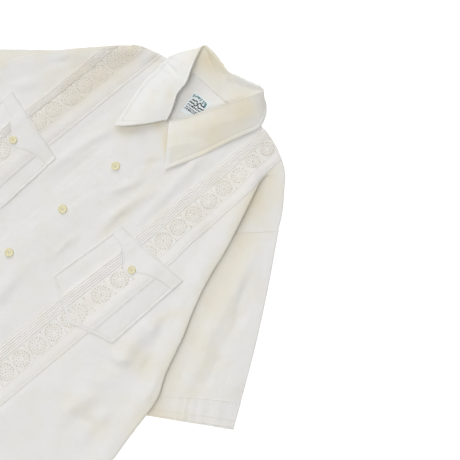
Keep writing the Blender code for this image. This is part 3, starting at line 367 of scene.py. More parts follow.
def plain_finish(name, colour, roughness, specular=0.3, grain_scale=900.0, grain=0.2):
    """A small part's finish: one colour with a little grain in tone and height."""
    material, tree, shader = new_material(name, {"Roughness": roughness, "Specular IOR Level": specular})
    place = add(tree, "ShaderNodeTexCoord").outputs["Object"]
    noise = add(tree, "ShaderNodeTexNoise", {"Vector": place, "Scale": grain_scale, "Detail": 2.0})
    tone = add(tree, "ShaderNodeMapRange", {"Value": noise, "To Min": 1 - grain, "To Max": 1 + grain * 0.5})
    grained = add(tree, "ShaderNodeMix", data_type="RGBA", blend_type="MULTIPLY")
    feed(grained, {"Factor": 1.0, "A": srgb(colour), "B": tone})
    bump = add(tree, "ShaderNodeBump", {"Height": noise, "Strength": 0.2, "Distance": 0.0002})
    feed(shader, {"Base Color": grained, "Normal": bump})
    return material


# Plain-woven cotton poplin, washed soft: matt off-white that has yellowed in patches; its yellowed colour
# also paints shade along the fold over the sleeve
BODY_COTTON = cotton("washed_cotton_poplin", "E5E4E2", "DED4B6", 0.9, 0.25)
# The same poplin inside, kept from light: an even, cooler white
INNER_COTTON = cotton("unfaded_inner_poplin", "E4E3E0", "EEE8D6", 0.9, 0.25)
# Poplin with a stiffener beneath: whiter, with the strongest age marks
COLLAR_COTTON = cotton("aged_collar_cotton", "EAEAE8", "E2D7B8", 0.9, 0.25, mottle=0.6)
# Finer poplin, pin tucked and embroidered by machine: a tighter weave that catches more light
BAND_COTTON = cotton("tucked_band_cotton", "EAE8E5", "DDD2B8", 0.8, 0.3)
# Woven satin: cool, smooth and a little shiny
LABEL_SATIN = cotton("label_satin", "E2E8EA", "CFD2C8", 0.5, 0.2, roughness=0.5)
# River shell, cut and turned: cream with soft clouds and a low gloss
SHELL = plain_finish("river_shell", "E6DFB8", 0.35, 0.4, 400.0, 0.1)
# Spun cotton thread: warm and matt, a little darker than the cloth so that the stitches show; that darkness
# is partly painted shade of the puckered stitch lines
THREAD = plain_finish("sewing_thread", "DAD5C9", 0.75)
# Loose cotton in satin stitch: the lightest of the whites
EMBROIDERY_COTTON = plain_finish("embroidery_cotton", "EDEAE2", 0.7)
# Painted shadow: cloth seen down a punched hole, drawn as a flat disc in a quiet warm shade; the button
# holes use it too
EYELET_SHADE = plain_finish("eyelet_shade", "CBC3B5", 0.9)
# Dyed threads of the woven label: faded teal, and near-black
TEAL_THREAD = plain_finish("teal_label_thread", "6A959B", 0.6)
INK_THREAD = plain_finish("ink_label_thread", "2B3338", 0.65)


def new_tree(name, *inputs):
    """Geometry tree from paths or points to a mesh, and the sockets it is given."""
    tree = bpy.data.node_groups.new(name, "GeometryNodeTree")
    tree.interface.new_socket("Path", in_out="INPUT", socket_type="NodeSocketGeometry")
    tree.interface.new_socket("Mesh", in_out="OUTPUT", socket_type="NodeSocketGeometry")
    for title in inputs:
        kind = "NodeSocketMaterial" if title in ("Thread", "Shade") else "NodeSocketFloat"
        tree.interface.new_socket(title, in_out="INPUT", socket_type=kind)
    return tree, add(tree, "NodeGroupInput").outputs


def dress(tree, mesh, material):
    return add(tree, "GeometryNodeSetMaterial", {"Geometry": mesh, "Material": material})


def stitch_tree():
    """Stitches of one length and thickness, a set pitch apart along each path."""
    tree, given = new_tree("row_of_stitches", "Pitch", "Stitch length", "Thread radius", "Thread")
    curve = add(tree, "GeometryNodeMeshToCurve", {"Mesh": given["Path"]})
    points = add(tree, "GeometryNodeCurveToPoints", mode="LENGTH")
    feed(points, {"Curve": curve, "Length": given["Pitch"]})
    ball = add(tree, "GeometryNodeMeshUVSphere", {"Segments": 5, "Rings": 3, "Radius": 1.0})
    half = add(tree, "ShaderNodeMath", {0: given["Stitch length"], 1: 0.5}, operation="MULTIPLY")
    thin = given["Thread radius"]
    size = add(tree, "ShaderNodeCombineXYZ", {"X": thin, "Y": thin, "Z": half})
    stitch = add(tree, "GeometryNodeTransform", {"Geometry": ball, "Scale": size})
    turned = add(tree, "FunctionNodeAlignRotationToVector", {"Vector": points.outputs["Tangent"]}, axis="Z")
    placed = add(tree, "GeometryNodeInstanceOnPoints", {"Points": points, "Instance": stitch,
                                                        "Rotation": turned})
    real = add(tree, "GeometryNodeRealizeInstances", {"Geometry": placed})
    add(tree, "NodeGroupOutput", {"Mesh": dress(tree, real, given["Thread"])})
    return tree


def eyelet_tree():
    """At each point an overcast ring round a punched eyelet; its opening shows as a small flat disc of
    painted shade.
    """
    tree, given = new_tree("embroidered_eyelets", "Ring thickness", "Thread", "Shade")
    size = add(tree, "GeometryNodeInputNamedAttribute", {"Name": "hole_radius"}, data_type="FLOAT")
    facing = add(tree, "GeometryNodeInputNamedAttribute", {"Name": "facing"}, data_type="FLOAT_VECTOR")
    turned = add(tree, "FunctionNodeAlignRotationToVector", {"Vector": facing}, axis="Z")
    loop = add(tree, "GeometryNodeCurvePrimitiveCircle", {"Resolution": 8, "Radius": 1.25})
    thick = given["Ring thickness"]
    section = add(tree, "GeometryNodeCurvePrimitiveCircle", {"Resolution": 3, "Radius": thick})
    ring = add(tree, "GeometryNodeCurveToMesh", {"Curve": loop, "Profile Curve": section})
    # Painted shade: a flat disc stands for the dark of the opening
    disc = add(tree, "GeometryNodeMeshCircle", {"Vertices": 8, "Radius": 1.1}, fill_type="NGON")
    hole_shade_disc = add(tree, "GeometryNodeTransform", {"Geometry": disc, "Translation": (0, 0, 0.1)})
    both = add(tree, "GeometryNodeJoinGeometry", {"Geometry": [dress(tree, ring, given["Thread"]),
                                                               dress(tree, hole_shade_disc, given["Shade"])]})
    placed = add(tree, "GeometryNodeInstanceOnPoints", {"Points": given["Path"], "Instance": both,
                                                        "Rotation": turned, "Scale": size})
    add(tree, "NodeGroupOutput", {"Mesh": add(tree, "GeometryNodeRealizeInstances", {"Geometry": placed})})
    return tree


def cord_tree():
    """A raised cord of satin stitch along each path."""
    tree, given = new_tree("raised_cords", "Cord radius", "Thread")
    curve = add(tree, "GeometryNodeMeshToCurve", {"Mesh": given["Path"]})
    thick = given["Cord radius"]
    section = add(tree, "GeometryNodeCurvePrimitiveCircle", {"Resolution": 4, "Radius": thick})
    cord = add(tree, "GeometryNodeCurveToMesh", {"Curve": curve, "Profile Curve": section})
    real = add(tree, "GeometryNodeRealizeInstances", {"Geometry": cord})
    add(tree, "NodeGroupOutput", {"Mesh": dress(tree, real, given["Thread"])})
    return tree


STITCHES, EYELETS, CORDS = stitch_tree(), eyelet_tree(), cord_tree()


def crease_height(creases, x, y):
    """Height that the creases add, uneven along each one and fading towards its ends."""
    height = np.zeros_like(x, dtype=float)
    for number, crease in enumerate(creases):
        run_x, run_y = crease.x1 - crease.x0, crease.y1 - crease.y0
        length = math.hypot(run_x, run_y)
        along = ((x - crease.x0) * run_x + (y - crease.y0) * run_y) / length ** 2
        held = np.clip(along, 0.0, 1.0)
        across = ((x - crease.x0) * run_y - (y - crease.y0) * run_x) / length
        across = across - crease.bend * 4 * held * (1 - held)
        uneven = 0.8 + 0.2 * np.sin(along * (5 + number % 3) + 1.7 * number)
        width = crease.width * (0.85 + 0.3 * np.sin(2.3 * number + 3 * along) ** 2)
        ends = smooth((along + 0.15) / 0.4) * smooth((1.15 - along) / 0.4)
        height += crease.rise * uneven * ends * np.exp(-(across / width) ** 2)
    return height


def undulation(x, y, seed):
    """Small waves that no flat-laid cloth is without."""
    chance = random.Random(seed)
    height = np.zeros_like(x, dtype=float)
    for length in (95.0, 70.0, 48.0, 36.0, 27.0, 21.0, 16.0, 12.0):
        for _ in range(3):
            heading = chance.uniform(0, math.pi)
            phase = chance.uniform(0, 6.28)
            sway = chance.uniform(0.5, 1.4)
            run = x * math.cos(heading) + y * math.sin(heading)
            side_run = y * math.cos(heading) - x * math.sin(heading)
            wave = np.sin(6.283 * run / length + phase + sway * np.sin(side_run / length * 2.4 + phase))
            height += 0.0022 * length * wave * (0.6 + 0.4 * np.sin(side_run / (1.7 * length) + 2 * phase))
    return height


def carried(side, x, y, spread):
    """How far the hidden layers near one side lift the cloth that lies over them."""
    inwards = EDGE[side](y) - side * x
    return LIFT[side](y) * smooth((LIFT_REACH[side](y) + spread - inwards) / spread)


def front_face(side, x, y):
    """Height of a front's face, with its puffed edge and its creases."""
    out = side * x
    inwards = EDGE[side](y) - out
    lowest = FRONT_FACE + carried(side, x, y, CARRY_FADE)
    height = lowest + FRONT_LOFT * smooth(inwards / LOFT_FADE) * smooth((y - HEM_Y) / LOFT_FADE)
    if side == LEFT:
        height = height + PLACKET_LIFT * smooth((PLACKET_LIFT_FROM - x) / PLACKET_LIFT_FADE)
        lap = np.minimum(front_face(RIGHT, x, y) + 0.75, height + 0.4)
        height = mix(lap, height, smooth((x + PLACKET_OUT) / 30))
    puff = smooth((inwards + 1) / 5.5) * (1 - smooth((inwards - 8) / 30)) * smooth((56 - y) / 24)
    puff = puff * smooth((y + 480) / 80) * (3.6 + 3.0 * smooth((y + 60) / 50))
    calm = smooth((inwards - 2) / 14) * smooth((out + 14) / 14)
    beneath_pocket = smooth((out - 54) / 12) * smooth((190 - out) / 12)
    beneath_pocket = beneath_pocket * smooth((-116 - y) / 12) * smooth((y + 276) / 12)
    from_band = np.abs(out - BANDS[side].inner - BANDS[side].width / 2) - BANDS[side].width / 2
    creases = 1.9 * crease_height(FRONT_CREASES[side], x, y)
    creases = creases * calm * (1 - beneath_pocket) * mix(0.35, 1.0, smooth(from_band / 8))
    waves = 1.3 * undulation(x, y, 11 + side) * calm * (1 - 0.6 * beneath_pocket)
    return np.maximum(height + creases + waves, lowest - 0.2) + puff


def squares_of(rows, around=False):
    """Corner numbers of the squares of a grid of points."""
    number = np.arange(rows[..., 0].size).reshape(rows.shape[:2])
    if around:
        number = np.hstack([number, number[:, :1]])
    return np.stack([number[:-1, :-1], number[:-1, 1:], number[1:, 1:], number[1:, :-1]], axis=2)


def face_normals(points, squares):
    a, b, c, d = (points[squares[:, corner]] for corner in range(4))
    turn = np.cross(c - a, d - b)
    normals = np.zeros_like(points)
    for corner in range(4):
        np.add.at(normals, squares[:, corner], turn)
    return unit(normals)


def rim_of(squares, count):
    """Directed edges of the squares that no other square shares."""
    edges = np.concatenate([squares[:, [corner, (corner + 1) % 4]] for corner in range(4)])
    return edges[~np.isin(edges @ [count, 1], edges @ [1, count])]


def age_and_painted_shade(stains_and_shade, points, fold_age_and_shade, fold_reach):
    """Share of yellowed colour at each point: soft oval patches, mostly stains and a few of painted shade,
    and painted shade with some age along the fold over the sleeve.
    """
    x, y = points[:, 0], points[:, 1]
    # Painted shade along the fold over the sleeve, drawn in the yellowed colour together with the cloth's
    # age there
    from_fold = np.abs(x) - np.where(x > 0, EDGE[LEFT](y), EDGE[RIGHT](y))
    aged_and_fold_shade = fold_age_and_shade * np.exp(-(from_fold / fold_reach) ** 2) * smooth((52 - y) / 40)
    aged_and_fold_shade = aged_and_fold_shade * mix(0.35, 1.0, smooth((y + 330) / 60))
    for patch in stains_and_shade:
        cos, sin = math.cos(math.radians(patch.turn)), math.sin(math.radians(patch.turn))
        along = ((x - patch.x) * cos + (y - patch.y) * sin) / patch.long
        across = ((y - patch.y) * cos - (x - patch.x) * sin) / patch.wide
        aged_and_fold_shade += patch.strength * np.exp(-(along ** 2 + across ** 2))
    return np.clip(aged_and_fold_shade, 0, 1)


def new_object(name, points, edges, faces):
    """Mesh object in metres, with its place in its mesh."""
    data = bpy.data.meshes.new(name)
    data.from_pydata(((np.asarray(points, float) + NOTCH) * MM).tolist(), edges, faces)
    piece = bpy.data.objects.new(name, data)
    bpy.context.collection.objects.link(piece)
    return piece


def hand_over(piece, node=None):
    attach(piece, "root")
    if node:
        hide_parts(node)


def dressed_piece(name, points, faces, material, smooth_over=60):
    piece = new_object(name, points, [], faces)
    piece.data.shade_smooth()
    piece.data.set_sharp_from_angle(angle=math.radians(smooth_over))
    piece.data.materials.append(material)
    return piece


CLOTH_TREES = {}


def sew(node, rows, thickness, material, name=None, threads=None, present=None,
        around=False, face_down=None, stains_and_shade=STAINS_AND_SHADE, fold_age_and_shade=0.0, fold_reach=1.0):
    """Close a grid of points into a thin shell with a rounded rim, and hand it over in its node's place."""
    name = name or node + "_cloth"
    if threads is None:
        along = distances(rows.mean(axis=1)[None])[0]
        threads = grid(distances(rows), along[:, None])
    squares = squares_of(rows, around)
    squares = squares.reshape(-1, 4) if present is None else squares[present]
    used, squares = np.unique(squares, return_inverse=True)
    squares = squares.reshape(-1, 4)
    points, threads = rows.reshape(-1, 3)[used], threads.reshape(-1, 2)[used]
    normals = face_normals(points, squares)
    if face_down is None:
        face_down = np.median(normals[:, 2]) <= 0
    if face_down:
        squares, normals = squares[:, ::-1], -normals
    count = len(points)
    points, under = np.maximum(points, LOWEST), np.maximum(points - normals * thickness, LOWEST)
    rim = rim_of(squares, count)
    run = points[rim[:, 1]] - points[rim[:, 0]]
    outward = np.zeros_like(points)
    for end in range(2):
        np.add.at(outward, rim[:, end], np.cross(run, normals[rim[:, end]]))
    edge = np.unique(rim)
    middle, half = (points[edge] + under[edge]) / 2, (points[edge] - under[edge]) / 2
    bulge = unit(outward[edge]) * np.linalg.norm(half, axis=1, keepdims=True)
    rings = [np.maximum(middle + half * math.cos(angle) + bulge * math.sin(angle), LOWEST)
             for angle in (0.785, 1.571, 2.356)]
    round_rim = [np.searchsorted(edge, rim) + 2 * count + level * len(edge) for level in range(3)]
    layers = [rim] + round_rim + [rim + count]
    strips = [np.stack([above[:, 1], above[:, 0], below[:, 0], below[:, 1]], axis=1)
              for above, below in zip(layers, layers[1:])]
    every_point = np.concatenate([points, under] + rings)
    faces = np.concatenate([squares, squares[:, ::-1] + count] + strips).tolist()
    CLOTH_TREES[name] = BVHTree.FromPolygons(every_point[:2 * count].tolist(), faces[:2 * len(squares)])
    piece = dressed_piece(name, every_point, faces, material)
    corners = np.zeros(len(piece.data.loops), dtype=np.int32)
    piece.data.loops.foreach_get("vertex_index", corners)
    every_thread = np.concatenate([threads, threads] + [threads[edge]] * 3).astype(np.float32)
    piece.data.uv_layers.new(name="threads").data.foreach_set("uv", every_thread[corners].ravel())
    aged_and_fold_shade = age_and_painted_shade(stains_and_shade, every_point, fold_age_and_shade, fold_reach)
    piece.data.attributes.new("aged_and_fold_shade", "FLOAT", "POINT").data.foreach_set("value", aged_and_fold_shade)
    hand_over(piece, node)


def landing(names, x, y):
    """Highest place of the named cloths under each point and its facing, or None where there is none."""
    down = Vector((0, 0, -1))
    for at_x, at_y in zip(np.ravel(x), np.ravel(y)):
        hits = [CLOTH_TREES[name].ray_cast(Vector((at_x, at_y, 100.0)), down) for name in names]
        yield max((hit for hit in hits if hit[0] is not None), key=lambda hit: hit[0].z, default=None)


def top_of(names, x, y):
    """Height of the highest named cloth under each place, or nan where there is none."""
    return np.reshape([hit[0].z if hit else np.nan for hit in landing(names, x, y)], np.shape(x))


def filled(heights):
    """Fill the gaps in a grid of heights from the nearest known heights."""
    known = ~np.isnan(heights)
    heights = np.where(known, heights, 0.0)
    for _ in range(60):
        if known.all():
            break
        total, weight = np.zeros_like(heights), np.zeros_like(heights)
        for axis, step in ((0, 1), (0, -1), (1, 1), (1, -1)):
            total += np.roll(heights * known, step, axis=axis)
            weight += np.roll(known.astype(float), step, axis=axis)
        new = ~known & (weight > 0)
        heights[new] = (total / np.maximum(weight, 1))[new]
        known = known | new
    return heights


def softened(heights, passes):
    """Blur a grid of heights, keeping its edges."""
    for _ in range(passes):
        padded = np.pad(heights, 1, mode="edge")
        heights = (padded[:-2, 1:-1] + padded[2:, 1:-1] + padded[1:-1, :-2] + padded[1:-1, 2:]
                   + 2 * padded[1:-1, 1:-1]) / 6
    return heights


def levels_of(side):
    """Heights of the rows from the hem up, then each one's share of the way to the shoulder line."""
    start, steps = TOP_FROM[side], 34
    y = np.concatenate([[HEM_Y, HEM_Y + 1.5], np.arange(HEM_Y, -432, 7.5)[1:],
                        np.linspace(-430, start, int((430 + start) / 3.1)), np.full(steps, start)])
    share = np.concatenate([np.zeros(len(y) - steps), np.linspace(0, 1, steps + 1)[1:]])
    return y[:, None], share[:, None]


def rounded_drop(rows, drop, reach):
    """Extra rows that carry the cloth's end round and down, as over a shoulder seam."""
    last = rows[-1]
    angle = np.linspace(0, math.pi / 2, 5)[1:, None]
    extra = np.repeat(last[None], 4, axis=0)
    extra[:, :, :2] += unit((last - rows[-3])[:, :2]) * reach * np.sin(angle)[:, :, None]
    extra[:, :, 2] -= (last[:, 2] - drop) * (1 - np.cos(angle))
    return np.concatenate([rows, extra])


def front_grid(side):
    """Points of a front's face: upper layer, rolled edge, the cloth beneath, and the pleat's lower layer."""
    y, share = levels_of(side)
    edge_y = mix(y, SIDE_EDGE[side][0].y, share)
    edge, turn = EDGE[side](edge_y) - EDGE_REACH, TURN_UNDER[side](edge_y)
    inner = edge - np.maximum(turn, 1.5)
    lower_to = inner - 1.0
    if side == LEFT:
        lower_to = ARM_OUT[side](mix(y, ARMHOLE[side][0][0], share)) + 1.8
    neck = NECK_OUT[side](mix(y, NECKLINE[side][-1][0], share))
    edge_round, pleat_round = (np.linspace(0, math.pi, steps + 1)[1:] for steps in (EDGE_STEPS, PLEAT_STEPS))
    beneath_share = np.array([0.35, 0.7, 1.0])
    lower_share = np.linspace(0, 1, LOWER_COLUMNS + 1)[1:]
    flat_share = np.linspace(0, 1, EDGE_STEPS + 3 + PLEAT_STEPS + LOWER_COLUMNS + 1)[1:]
    folded = smooth((turn + 4) / 7.5)
    flat_out = mix(edge, lower_to, flat_share)
    folded_out = np.hstack([edge + EDGE_REACH * np.sin(edge_round), mix(edge, inner, beneath_share),
                            inner - PLEAT_ROLL * np.sin(pleat_round), mix(inner, lower_to, lower_share)])
    out = np.hstack([mix(neck, edge, np.linspace(0, 1, FRONT_COLUMNS)), mix(flat_out, folded_out, folded)])
    row_y = mix(y, SHOULDER_Y[side](out[-1]), share)
    face = front_face(side, side * out[:, :FRONT_COLUMNS], row_y[:, :FRONT_COLUMNS])
    last = face[:, -1:]
    drop = np.minimum(EDGE_ROLL, (last - 0.8) / 2)
    beneath = last - 2 * drop
    centre, half = (beneath + FRONT_FACE) / 2, (beneath - FRONT_FACE) / 2
    flat_z = mix(last, FRONT_FACE, smooth((flat_out - edge) / 16)) + 0.15 * flat_share ** 8
    lower_z = 0 * last + FRONT_FACE + 0.15 * lower_share ** 8
    folded_z = np.hstack([last - drop + drop * np.cos(edge_round), beneath + 0 * beneath_share,
                          centre + half * np.cos(pleat_round), lower_z])
    return grid(side * out, row_y, np.hstack([face, mix(flat_z, folded_z, folded)]))


def make_front(side):
    rows = rounded_drop(front_grid(side), 0.7, 1.6)
    present = np.ones((rows.shape[0] - 1, rows.shape[1] - 1), bool)
    no_lower_layer = (side == RIGHT) | (rows[:-1, 0, 1] < LOWER_LAYER_FROM_Y)
    present[no_lower_layer, FRONT_COLUMNS + EDGE_STEPS + 2:] = False
    threads = grid(rows[:, :1, 0] * side + distances(rows), rows[:, :, 1])
    # Painted shade, with some age, along the edge that folds over the sleeve
    sew("front_" + HAND[side], rows, CLOTH, BODY_COTTON, threads=threads, present=present, fold_age_and_shade=0.25,
        fold_reach=10.0)


def back_side(side, y):
    """Side of the back: along the armhole seam, then beside the front's turned edge."""
    edge = EDGE[side](y) - TURN_UNDER[side](y) - 2.0
    beside = mix(edge, np.minimum(ARM_OUT[side](y) - 3.0, edge), smooth((y + 228) / 88))
    return np.where(y > ARMHOLE[side][0][0], edge, beside)


def make_back():
    """Back in one piece with its yoke, which shows only inside the collar."""
    across = np.linspace(0, 1, 70)
    y = np.concatenate([np.linspace(HEM_Y, -240, 48), np.linspace(-230, -30, 30)])[:, None] + 0 * across
    x = mix(-back_side(RIGHT, y), back_side(LEFT, y), across)
    lift = sum(carried(side, x, y, 30) * smooth((-100 - y) / 32) * (side * x > 0) for side in HAND)
    body = grid(x, y, 0.95 + lift)
    share = np.linspace(0, 1, 30)[1:, None]
    left = mix(-back_side(RIGHT, mix(-30, 41, share)), -100.0, smooth((share - 0.6) / 0.4))
    x = mix(left, ARM_OUT[LEFT](mix(-30, 12.8, share)) - 0.6, across)
    top_x = mix(-100.0, 203.5, across)
    under_collar = 5.0 * smooth((top_x + 44) / 8) * smooth((50 - top_x) / 8)
    y = mix(-30.0, BACK_TOP_Y(top_x) + under_collar, share)
    yoke = grid(x, y, 0.95 + 0.25 * undulation(x, y, 5))
    sew("back_panel", np.concatenate([body, yoke]), 0.7, INNER_COTTON, name="back_cloth")


def sleeve_run(side):
    """Run of a sleeve's outer edge from the shoulder to the cuff, and its length."""
    run_x, run_y = CUFF[side][1][0] - ARMHOLE[side][0][1], CUFF[side][1][1] - ARMHOLE[side][0][0]
    return run_x, run_y, math.hypot(run_x, run_y)


def sleeve_place(side, across, along):
    y = mix(ARMHOLE[side][-1][0], ARMHOLE[side][0][0], across)
    (inner_x, inner_y), (outer_x, outer_y) = CUFF[side]
    run_x, run_y, length = sleeve_run(side)
    bow = 4.2 * np.sin(math.pi * along) * across ** 2 / length
    out = mix(ARM_OUT[side](y), mix(inner_x, outer_x, across), along) - run_y * bow
    return side * out, mix(y, mix(inner_y, outer_y, across), along) + run_x * bow


def round_side(first, last, before, wide):
    """Points round the half circle that joins one layer's side to the other's."""
    half = (first - last) / 2
    outward = unit((first - before) * [1, 1, 0]) * np.linalg.norm(half, axis=1, keepdims=True) * wide
    angle = np.linspace(0, math.pi, 11)[1:-1, None, None]
    return ((first + last) / 2 + half * np.cos(angle) + outward * np.sin(angle)).transpose(1, 0, 2)


def make_sleeve(side):
    """Short sleeve as a flattened tube with a hem: its fold away from the body is soft and round."""
    across = 1 - (1 - np.linspace(0, 1, 84)) ** 1.15
    hem_from = 1 - 35.0 / sleeve_run(side)[2]
    along = np.unique(np.r_[np.linspace(0, 1, 104), hem_from - 0.004, hem_from + 0.004])[:, None]
    x, y = sleeve_place(side, across, along)
    clear = smooth((side * x - EDGE[side](y) - 16) / 26)
    rim = np.minimum(1.0, (1 - across) * 9) ** 0.5
    body = 4.2 * np.sin(math.pi * np.minimum(1.0, 0.12 + 0.8 * across)) * rim
    ends = smooth((along - 0.004) / 0.16) * mix(0.45, 1.0, smooth((1 - along) / 0.3))
    ripple = 1.35 * crease_height(SLEEVE_CREASES[side], x, y) + 1.4 * undulation(x, y, 31 + side)
    ripple = ripple * rim * smooth((along - 0.004) / 0.05)
    gathers = 0.38 * np.sin(across * 88 + 2.3 * np.sin(across * 17 + side)) * rim
    ripple = ripple + smooth((along - hem_from) / 0.01) * gathers
    rise = np.maximum(0.0, (body * ends + ripple) * clear) + 0.45 * (along > hem_from) * clear
    sunk = 0.12 * (1 - smooth((along - 0.008) / 0.03))
    upper = grid(x, y, FRONT_FACE + rise - sunk)[:, ::-1]
    low_x, low_y = sleeve_place(side, np.linspace(0, 1, 22), along)
    lower = grid(low_x, low_y, 0 * low_x)
    outer_side = round_side(lower[:, -1], upper[:, 0], lower[:, -2], 1.9)
    inner_side = round_side(upper[:, -1], lower[:, 0], lower[:, 1], 1.0)
    # Painted shade, with some age, on the sleeve beside the fold of the front that lies over it
    sew("sleeve_" + HAND[side], np.hstack([lower, outer_side, upper, inner_side]), CLOTH, BODY_COTTON,
        around=True, face_down=side == RIGHT, fold_age_and_shade=0.26, fold_reach=26.0)


def through(points, count):
    """Points evenly shared out along a smooth curve through the given ones, a cubic to each stretch."""
    points = np.asarray(points, float)
    ends = np.concatenate([[2 * points[0] - points[1]], points, [2 * points[-1] - points[-2]]])
    share = np.linspace(0, len(points) - 1, count)
    index = np.minimum(share.astype(int), len(points) - 2)
    t = (share - index).reshape((-1,) + (1,) * (points.ndim - 1))
    a, b, c, d = ends[index], ends[index + 1], ends[index + 2], ends[index + 3]
    cubic = (2 * a - 5 * b + 4 * c - d) + (3 * b - a - 3 * c + d) * t
    return 0.5 * (2 * b + (c - a) * t + cubic * t ** 2)


def collar_section(station):
    """Mid-cloth points across the collar: stand, roll and leaf."""
    seam, roll, edge = np.reshape(station[:9], (3, 3)).astype(float)
    up = np.array([0, 0, 1.0])
    outward = unit((edge - roll) * [1, 1, 0])
    crest_in = roll - outward * 0.2 - up * 1.3
    crest_out = roll + outward * 2.3 * min(1.0, np.linalg.norm(edge - roll) / 30) - up * 0.9
    sway = np.array([outward[1], -outward[0], 0]) * station.sway
    hang = (edge[2] - crest_out[2]) / max(1.0, np.linalg.norm(edge - crest_out))
    belly = up * 2.4 * (1 + hang) * (hang > -0.6)
    return [seam, mix(seam, crest_in, 0.5) - outward * 0.6, crest_in, roll + outward * 0.9, crest_out,
            mix(crest_out, edge, 0.33) + belly * 0.9 - sway * 0.8,
            mix(crest_out, edge, 0.68) + belly * 0.7 - sway, edge]


def turned_edge(inside, stitched_at):
    """Height of a turned and stitched edge: full at the edge, drawn in at the stitches."""
    full = 0.5 * np.exp(-((inside - stitched_at * 0.46) / (stitched_at * 0.34)) ** 2)
    return full - 0.3 * np.exp(-((inside - stitched_at) / 1.0) ** 2)


def make_collar():
    """One-piece collar.  Its grid's face is the under side of the stand; rows go round the neck."""
    rows = []
    for line in through([collar_section(station) for station in COLLAR], 190):
        curve = through(line, 90)
        step = distances(curve[None])[0]
        want = np.linspace(0, 1, COLLAR_COLUMNS) * step[-1]
        rows.append(np.stack([np.interp(want, step, curve[:, axis]) for axis in range(3)], axis=1))
    rows = np.array(rows)
    x, y, _ = rows.transpose(2, 0, 1)
    normals = face_normals(rows.reshape(-1, 3), squares_of(rows).reshape(-1, 4)).reshape(rows.shape)
    facing = np.sign(np.median(normals[:, -8:, 2]))
    leaf = smooth((np.linspace(0, 1, COLLAR_COLUMNS) - 0.45) / 0.2)
    waves = undulation(x, y, 77) * 1.6 * leaf + crease_height(COLLAR_CREASES, x, y) * np.maximum(leaf, 0.5)
    run = distances(rows)
    from_edge = run[:, -1:] - run
    from_end = np.minimum(*(np.linalg.norm(rows - end, axis=2) for end in (rows[0], rows[-1])))
    turned = np.where(from_edge < from_end, turned_edge(from_edge, 5.6),
                      turned_edge(from_end, 5.6) * smooth((leaf - 0.6) / 0.4))
    rows = rows + normals * facing * (COLLAR_THICK / 2 + waves + turned * smooth(leaf * 2))[:, :, None]
    x, y, z = rows.transpose(2, 0, 1)
    beneath = top_of(["front_left_cloth", "front_right_cloth"], x, y)
    lowered = z - 1.8 * smooth((leaf - 0.2) / 0.8) * smooth((26 - from_edge) / 20)
    lowered = np.maximum(np.fmin(z, beneath + COLLAR_THICK + 0.25), lowered)
    rows[:, :, 2] = np.where(np.isfinite(beneath), lowered, z)
    sew("collar", rows, COLLAR_THICK, COLLAR_COTTON, face_down=facing < 0,
        stains_and_shade=COLLAR_STAINS)
    return rows


def band_relief(band):
    """Distances across the band, and at each the height of its face over its seat."""
    relief = [(0.0, 0.0), (0.5, 0.35), (1.1, 0.45)]
    pitch, rise = band.tuck_pitch, TUCK_RISE * (3.0 / band.tuck_pitch) ** 1.5
    for start in band.tucks_from + pitch * np.arange(TUCKS):
        relief += [(start + 0.04 * pitch, 0.3), (start + 0.3 * pitch, 0.3 + rise * 0.75),
                   (start + 0.56 * pitch, 0.3 + rise), (start + 0.72 * pitch, 0.3 + rise * 0.92),
                   (start + 0.84 * pitch, 0.24)]
    first, strip, end = band.embroidery_from, band.embroidery_to, band.width
    relief += [(first - 0.9, 0.45), (first - 0.2, 0.4)]
    relief += [(at, 0.5) for at in np.linspace(first + 0.5, strip - 0.6, 12)]
    relief += [(strip, 0.3), (strip + 0.5, 0.7), (strip + 1.6, 0.8), (mix(strip, end, 0.4), 0.78),
               (end - 5.2, 0.8), (end - 4.5, 0.5), (end - 3.8, 0.7), (end - 2.6, 0.7), (end - 1.6, 0.5),
               (end - 1.1, 0.3), (end - 0.6, 0.35), (end - 0.2, 0.2), (end, 0.0)]
    return np.array(relief).T


def band_x(side, across, y):
    """Place across a front of a distance across its band."""
    band = BANDS[side]
    if side == RIGHT:
        return -(band.inner + band.width - across * BAND_SHARE[side](y))
    return np.minimum(band.inner + across * BAND_SHARE[side](y), EDGE[side](y) - 3.4 + 0.02 * across)


def make_band(side):
    """Applied band from shoulder to hem.  Its tucks are on the same hand on both fronts."""
    across, rise = band_relief(BANDS[side])
    y, share = levels_of(side)
    top_out = side * band_x(side, across, 60.0)
    top = SHOULDER_Y[side](top_out) - 0.2
    if side == RIGHT:
        ladder = np.arange(33.0, -80.5, -0.5)
        room = EDGE[side](ladder) - 4.0
        top = np.where(top_out > room[0], np.interp(top_out, room, ladder), top)
    y = mix(y, top, share)
    x = band_x(side, across, y)
    seat = softened(filled(top_of(["front_%s_cloth" % HAND[side]], x, y)), 2)
    waver = 1 + 0.06 * np.sin(y / 17.0 + across * 0.35) * np.sin(y / 6.1 + 0.4 * across)
    rows = rounded_drop(grid(x, y, seat + 0.12 + rise * waver), 1.3, 2.1)
    sew("band_" + HAND[side], rows, APPLIED_CLOTH, BAND_COTTON,
        threads=grid(across, rows[:, :, 1]), stains_and_shade=BAND_STAINS_AND_SHADE)


def pocket_place(side, across, depth):
    """Place on a pocket: across from its inner to its outer edge, depth from the top edge down."""
    position = np.clip(depth, 0, 1) * (len(POCKET) - 1)
    inner_x, inner_y, outer_x, outer_y, point = (np.interp(position, range(len(POCKET)), column)
                                                 for column in zip(*POCKET))
    tip = POCKET_POINT_ACROSS
    drop = point * np.where(across < tip, across / tip, (1 - across) / (1 - tip))
    shift_x, shift_y = POCKET_SHIFT[side]
    return side * (mix(inner_x, outer_x, across) + shift_x), mix(inner_y, outer_y, across) - drop + shift_y


